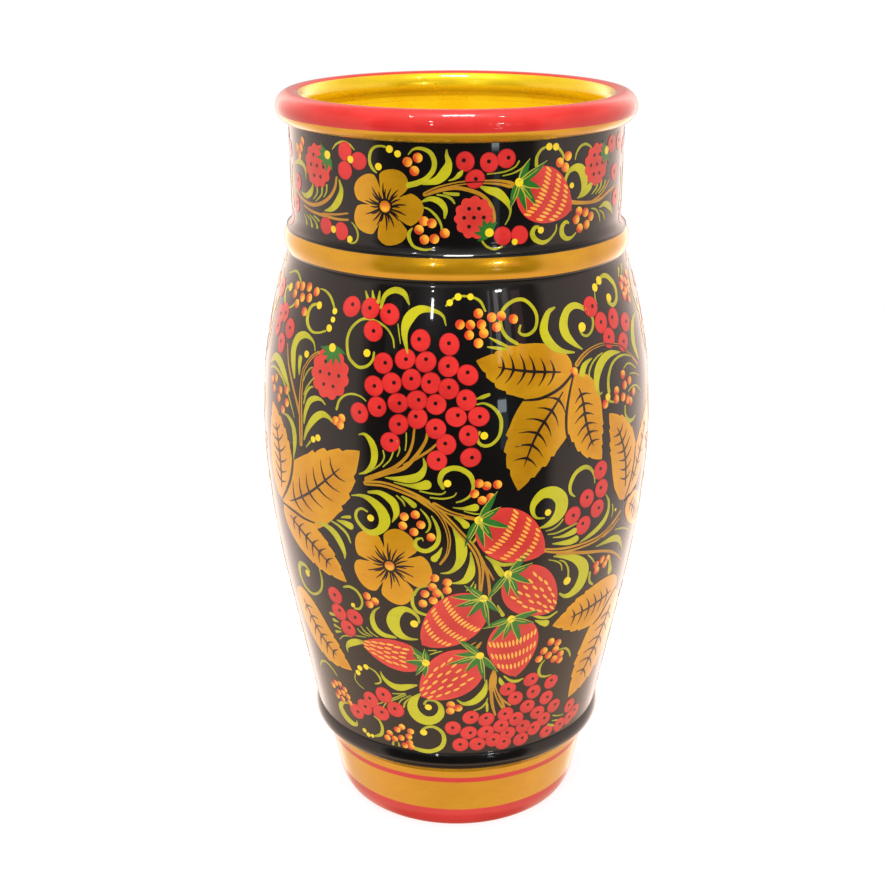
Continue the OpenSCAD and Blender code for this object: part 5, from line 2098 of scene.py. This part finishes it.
@dataclass(frozen=True)
class Softbox:
    """A lamp with a flat face, hung round the vase.

    Attributes:
        name: Its name.
        turn: Direction from the vase in degrees round it, 0 in front and growing to the right.
        rise: Direction above level in degrees.
        away: Distance from the vase in metres.
        size: Width and height of its face in metres.
        brightness: Radiance of its face.
        mirrored: Whether the lacquer mirrors it.
        colour: Its colour.
    """

    name: str
    turn: float
    rise: float
    away: float
    size: Point
    brightness: float
    mirrored: bool = True
    colour: Colour = (1.0, 1.0, 1.0)

    def build(self, target: Vector) -> bpy.types.Object:
        """Hangs the lamp and aims it.

        Args:
            target: Point it is aimed at.

        Returns:
            The lamp.
        """
        turn, rise = math.radians(self.turn), math.radians(self.rise)
        way = Vector((math.sin(turn) * math.cos(rise), -math.cos(turn) * math.cos(rise), math.sin(rise)))
        deselect_all()
        bpy.ops.object.light_add(type="AREA", location=target + way * self.away)
        lamp = bpy.context.object
        lamp.name = lamp.data.name = self.name
        lamp.rotation_euler = (-way).to_track_quat("-Z", "Y").to_euler()
        lamp.data.shape = "RECTANGLE"
        lamp.data.size, lamp.data.size_y = self.size
        lamp.data.energy = self.brightness * math.pi * self.size[0] * self.size[1]
        lamp.data.color = self.colour
        lamp.visible_camera = False
        lamp.visible_glossy = self.mirrored
        return lamp


class Studio:
    """Pale floor, white surroundings, soft lamps and the camera.

    Attributes:
        floor_radius: Radius of the floor in metres.
        round_about: Brightness that the lacquer mirrors level with it, by turn from the front in degrees.
        table_glow: Colour that the lacquer mirrors a little below level.
        table_shade: Colour that it mirrors from straight below.
        overhead: Colour that it mirrors from above.
        fill: Light on unmirrored surfaces from all round.
        floor_glow: Light that the floor gives off.
        aim: Point that the lamps face, in metres.
        camera_place: Place of the camera in metres.
        camera_tilt: Turn of the camera up from straight down, in degrees.
        camera_lens: Focal length in mm.
        camera_shift: Sideways shift of its picture, as a share of the width.
    """

    floor_radius = 0.9
    round_about = (
        (0, 0.03), (52, 0.04), (60, 0.78), (100, 0.82), (118, 0.95), (134, 1.3), (156, 2.0), (172, 0.6),
    )
    table_glow = (0.95, 0.68, 0.50)
    table_shade = (0.20, 0.13, 0.08)
    overhead = (0.34, 0.30, 0.26)
    fill = 0.46
    floor_glow = 0.80
    aim = Vector((0.0, 0.0, 0.22))
    camera_place = (0.0, -0.6157, 0.3703)
    camera_tilt = 70.65
    camera_lens = 63.33
    camera_shift = -0.0152

    def build(self) -> None:
        """Sets everything up."""
        self._floor()
        self._surroundings()
        for lamp in self._lamps():
            lamp.build(self.aim)
        self._camera()
        bpy.context.scene.view_settings.view_transform = "Standard"
        bpy.context.scene.view_settings.look = "None"

    def _lamps(self) -> list[Softbox]:
        """All the lamps."""
        return [
            Softbox("front_fill", -8.0, 24.0, 2.2, (1.6, 1.2), 3.0, False),
            Softbox("top_fill", 0.0, 88.0, 1.8, (2.4, 2.4), 1.6, False),
            Softbox("mouth_fill", 0.0, 89.9, 0.070, (0.12, 0.12), 1.0, False),
            Softbox("ceiling_lamp", 6.0, 83.0, 1.6, (0.30, 0.20), 60.0),
            Softbox("left_spot", -49.0, 66.0, 1.6, (0.05, 0.05), 80.0),
            Softbox("right_spot", 50.0, 66.0, 1.6, (0.05, 0.05), 80.0),
            Softbox("front_spot", -17.0, 38.0, 1.6, (0.05, 0.05), 80.0),
            Softbox("strip_lamp", -15.1, 19.2, 1.5, (0.035, 0.13), 36.0),
            Softbox("strip_end", -15.4, 25.0, 1.5, (0.03, 0.03), 40.0),
            Softbox("window_lamp", 27.4, 23.7, 1.5, (0.10, 0.05), 50.0),
            Softbox("window_frame", 20.5, 16.0, 1.5, (0.03, 0.46), 1.0),
            Softbox("window_left", 25.0, 15.0, 1.5, (0.07, 0.50), 1.9, True, (1.0, 0.94, 0.92)),
            Softbox("window_middle", 31.0, 16.0, 1.5, (0.09, 0.48), 0.9, True, (1.0, 0.90, 0.86)),
            Softbox("window_right", 38.0, 14.0, 1.5, (0.15, 0.46), 0.6, True, (1.0, 0.40, 0.42)),
            Softbox("doorway", 25.0, -4.8, 1.3, (0.11, 0.065), 5.2, True, (0.80, 0.93, 1.0)),
            Softbox("doorway_floor", 26.0, -11.0, 1.0, (0.07, 0.15), 0.5, True, (0.70, 0.90, 1.0)),
            Softbox("left_shelf", -38.0, 14.0, 1.5, (0.20, 0.40), 0.16, True, (1.0, 0.90, 0.84)),
            Softbox("left_frame", -30.0, 16.0, 1.5, (0.02, 0.34), 0.5, True, (1.0, 0.90, 0.84)),
        ]

    def _floor(self) -> None:
        """Lays the pale floor, a light table that glows a little."""
        deselect_all()
        bpy.ops.mesh.primitive_circle_add(
            vertices=96, radius=self.floor_radius, fill_type="NGON", location=(0, 0, 0)
        )
        floor = bpy.context.object
        floor.name = floor.data.name = "studio_floor"
        material = bpy.data.materials.new("pale_floor")
        material.use_nodes = True
        tree = NodeTree(material.node_tree)
        shader = material.node_tree.nodes["Principled BSDF"]
        cloud = tree.add("TexNoise")
        cloud.inputs["Scale"].default_value = 3.0
        place = tree.add("TexCoord")
        tree.link(place.outputs["Object"], cloud.inputs["Vector"])
        shade = tree.mix(cloud.outputs[0], (0.30, 0.30, 0.30), (0.34, 0.34, 0.34))
        tree.link(shade, shader.inputs["Base Color"])
        shader.inputs["Roughness"].default_value = 0.9
        shader.inputs["Specular IOR Level"].default_value = 0.1
        shader.inputs["Emission Color"].default_value = (1.0, 1.0, 1.0, 1.0)
        shader.inputs["Emission Strength"].default_value = self.floor_glow
        floor.data.materials.append(material)
        floor.visible_glossy = False

    def _surroundings(self) -> None:
        """White to the eye; to the lacquer, dark in front and brighter at the sides and behind."""
        world = bpy.data.worlds.new("studio_surroundings")
        bpy.context.scene.world = world
        world.use_nodes = True
        world.cycles.sampling_method = "NONE"
        world.node_tree.nodes.clear()
        tree = NodeTree(world.node_tree)
        place = tree.add("TexCoord")
        split = tree.add("SeparateXYZ")
        tree.link(place.outputs["Generated"], split.inputs[0])
        x = tree.maths("ABSOLUTE", split.outputs["X"])
        y = tree.maths("MULTIPLY", split.outputs["Y"], -1.0)
        turn = tree.maths("MULTIPLY", tree.maths("ARCTAN2", x, y), 1 / math.pi)
        ramp = tree.add("ValToRGB")
        self._fill_ramp(ramp.color_ramp)
        tree.link(turn, ramp.inputs[0])
        level = tree.add("VectorMath", operation="SCALE")
        tree.link(ramp.outputs[0], level.inputs[0])
        level.inputs["Scale"].default_value = max(v for _, v in self.round_about)
        low = tree.step(split.outputs["Z"], -0.50, -0.67)
        under = tree.step(split.outputs["Z"], -0.78, -0.92)
        high = tree.step(split.outputs["Z"], 0.36, 0.72)
        table = tree.mix(under, self.table_glow, self.table_shade)
        mirrored = tree.mix(high, tree.mix(low, level.outputs[0], table), self.overhead)
        shades = [self._background(tree, mirrored), self._background(tree, (self.fill,) * 3)]
        shades.append(self._background(tree, (1.0, 1.0, 1.0)))
        path = tree.add("LightPath")
        lit = self._choose(tree, path.outputs["Is Glossy Ray"], shades[1], shades[0])
        seen = self._choose(tree, path.outputs["Is Camera Ray"], lit, shades[2])
        out = tree.add("OutputWorld")
        tree.link(seen, out.inputs[0])

    @staticmethod
    def _background(tree: NodeTree, colour: object) -> bpy.types.NodeSocket:
        """Background shader of a colour or a colour socket."""
        node = tree.add("Background")
        if isinstance(colour, bpy.types.NodeSocket):
            tree.link(colour, node.inputs["Color"])
        else:
            node.inputs["Color"].default_value = (*colour, 1.0)
        return node.outputs[0]

    @staticmethod
    def _choose(tree: NodeTree, test: object, first: object, second: object) -> bpy.types.NodeSocket:
        """First shader where the test is 0 and second where it is 1."""
        node = tree.add("MixShader")
        for socket, value in zip(node.inputs, (test, first, second)):
            tree.link(value, socket)
        return node.outputs[0]

    def _fill_ramp(self, ramp: bpy.types.ColorRamp) -> None:
        """Writes the mirrored brightness by turn into a ramp."""
        top = max(v for _, v in self.round_about)
        while len(ramp.elements) < len(self.round_about):
            ramp.elements.new(0.5)
        for element, (turn, _) in zip(ramp.elements, self.round_about):
            element.position = turn / 180.0
        for element, (_, value) in zip(ramp.elements, self.round_about):
            element.color = (value / top, 0.80 * value / top, 0.71 * value / top, 1.0)

    def _camera(self) -> None:
        """Sets the camera in front, a little above the rim."""
        deselect_all()
        tilt = (math.radians(self.camera_tilt), 0.0, 0.0)
        bpy.ops.object.camera_add(location=self.camera_place, rotation=tilt)
        camera = bpy.context.object
        camera.name = camera.data.name = "camera"
        camera.data.lens = self.camera_lens
        camera.data.sensor_width = 36.0
        camera.data.shift_x = self.camera_shift
        bpy.context.scene.camera = camera


def main() -> None:
    """Builds the vase, its ornament and the studio."""
    logging.basicConfig(level=logging.INFO, format="%(name)s: %(message)s")
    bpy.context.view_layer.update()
    lacquerer = Lacquerer()
    TurnedBody().build(lacquerer)
    BarrelOrnament(Skin(barrel_outline())).build(lacquerer)
    NeckOrnament(Skin(neck_outline())).build(lacquerer)
    Studio().build()


if __name__ == "__main__":
    main()
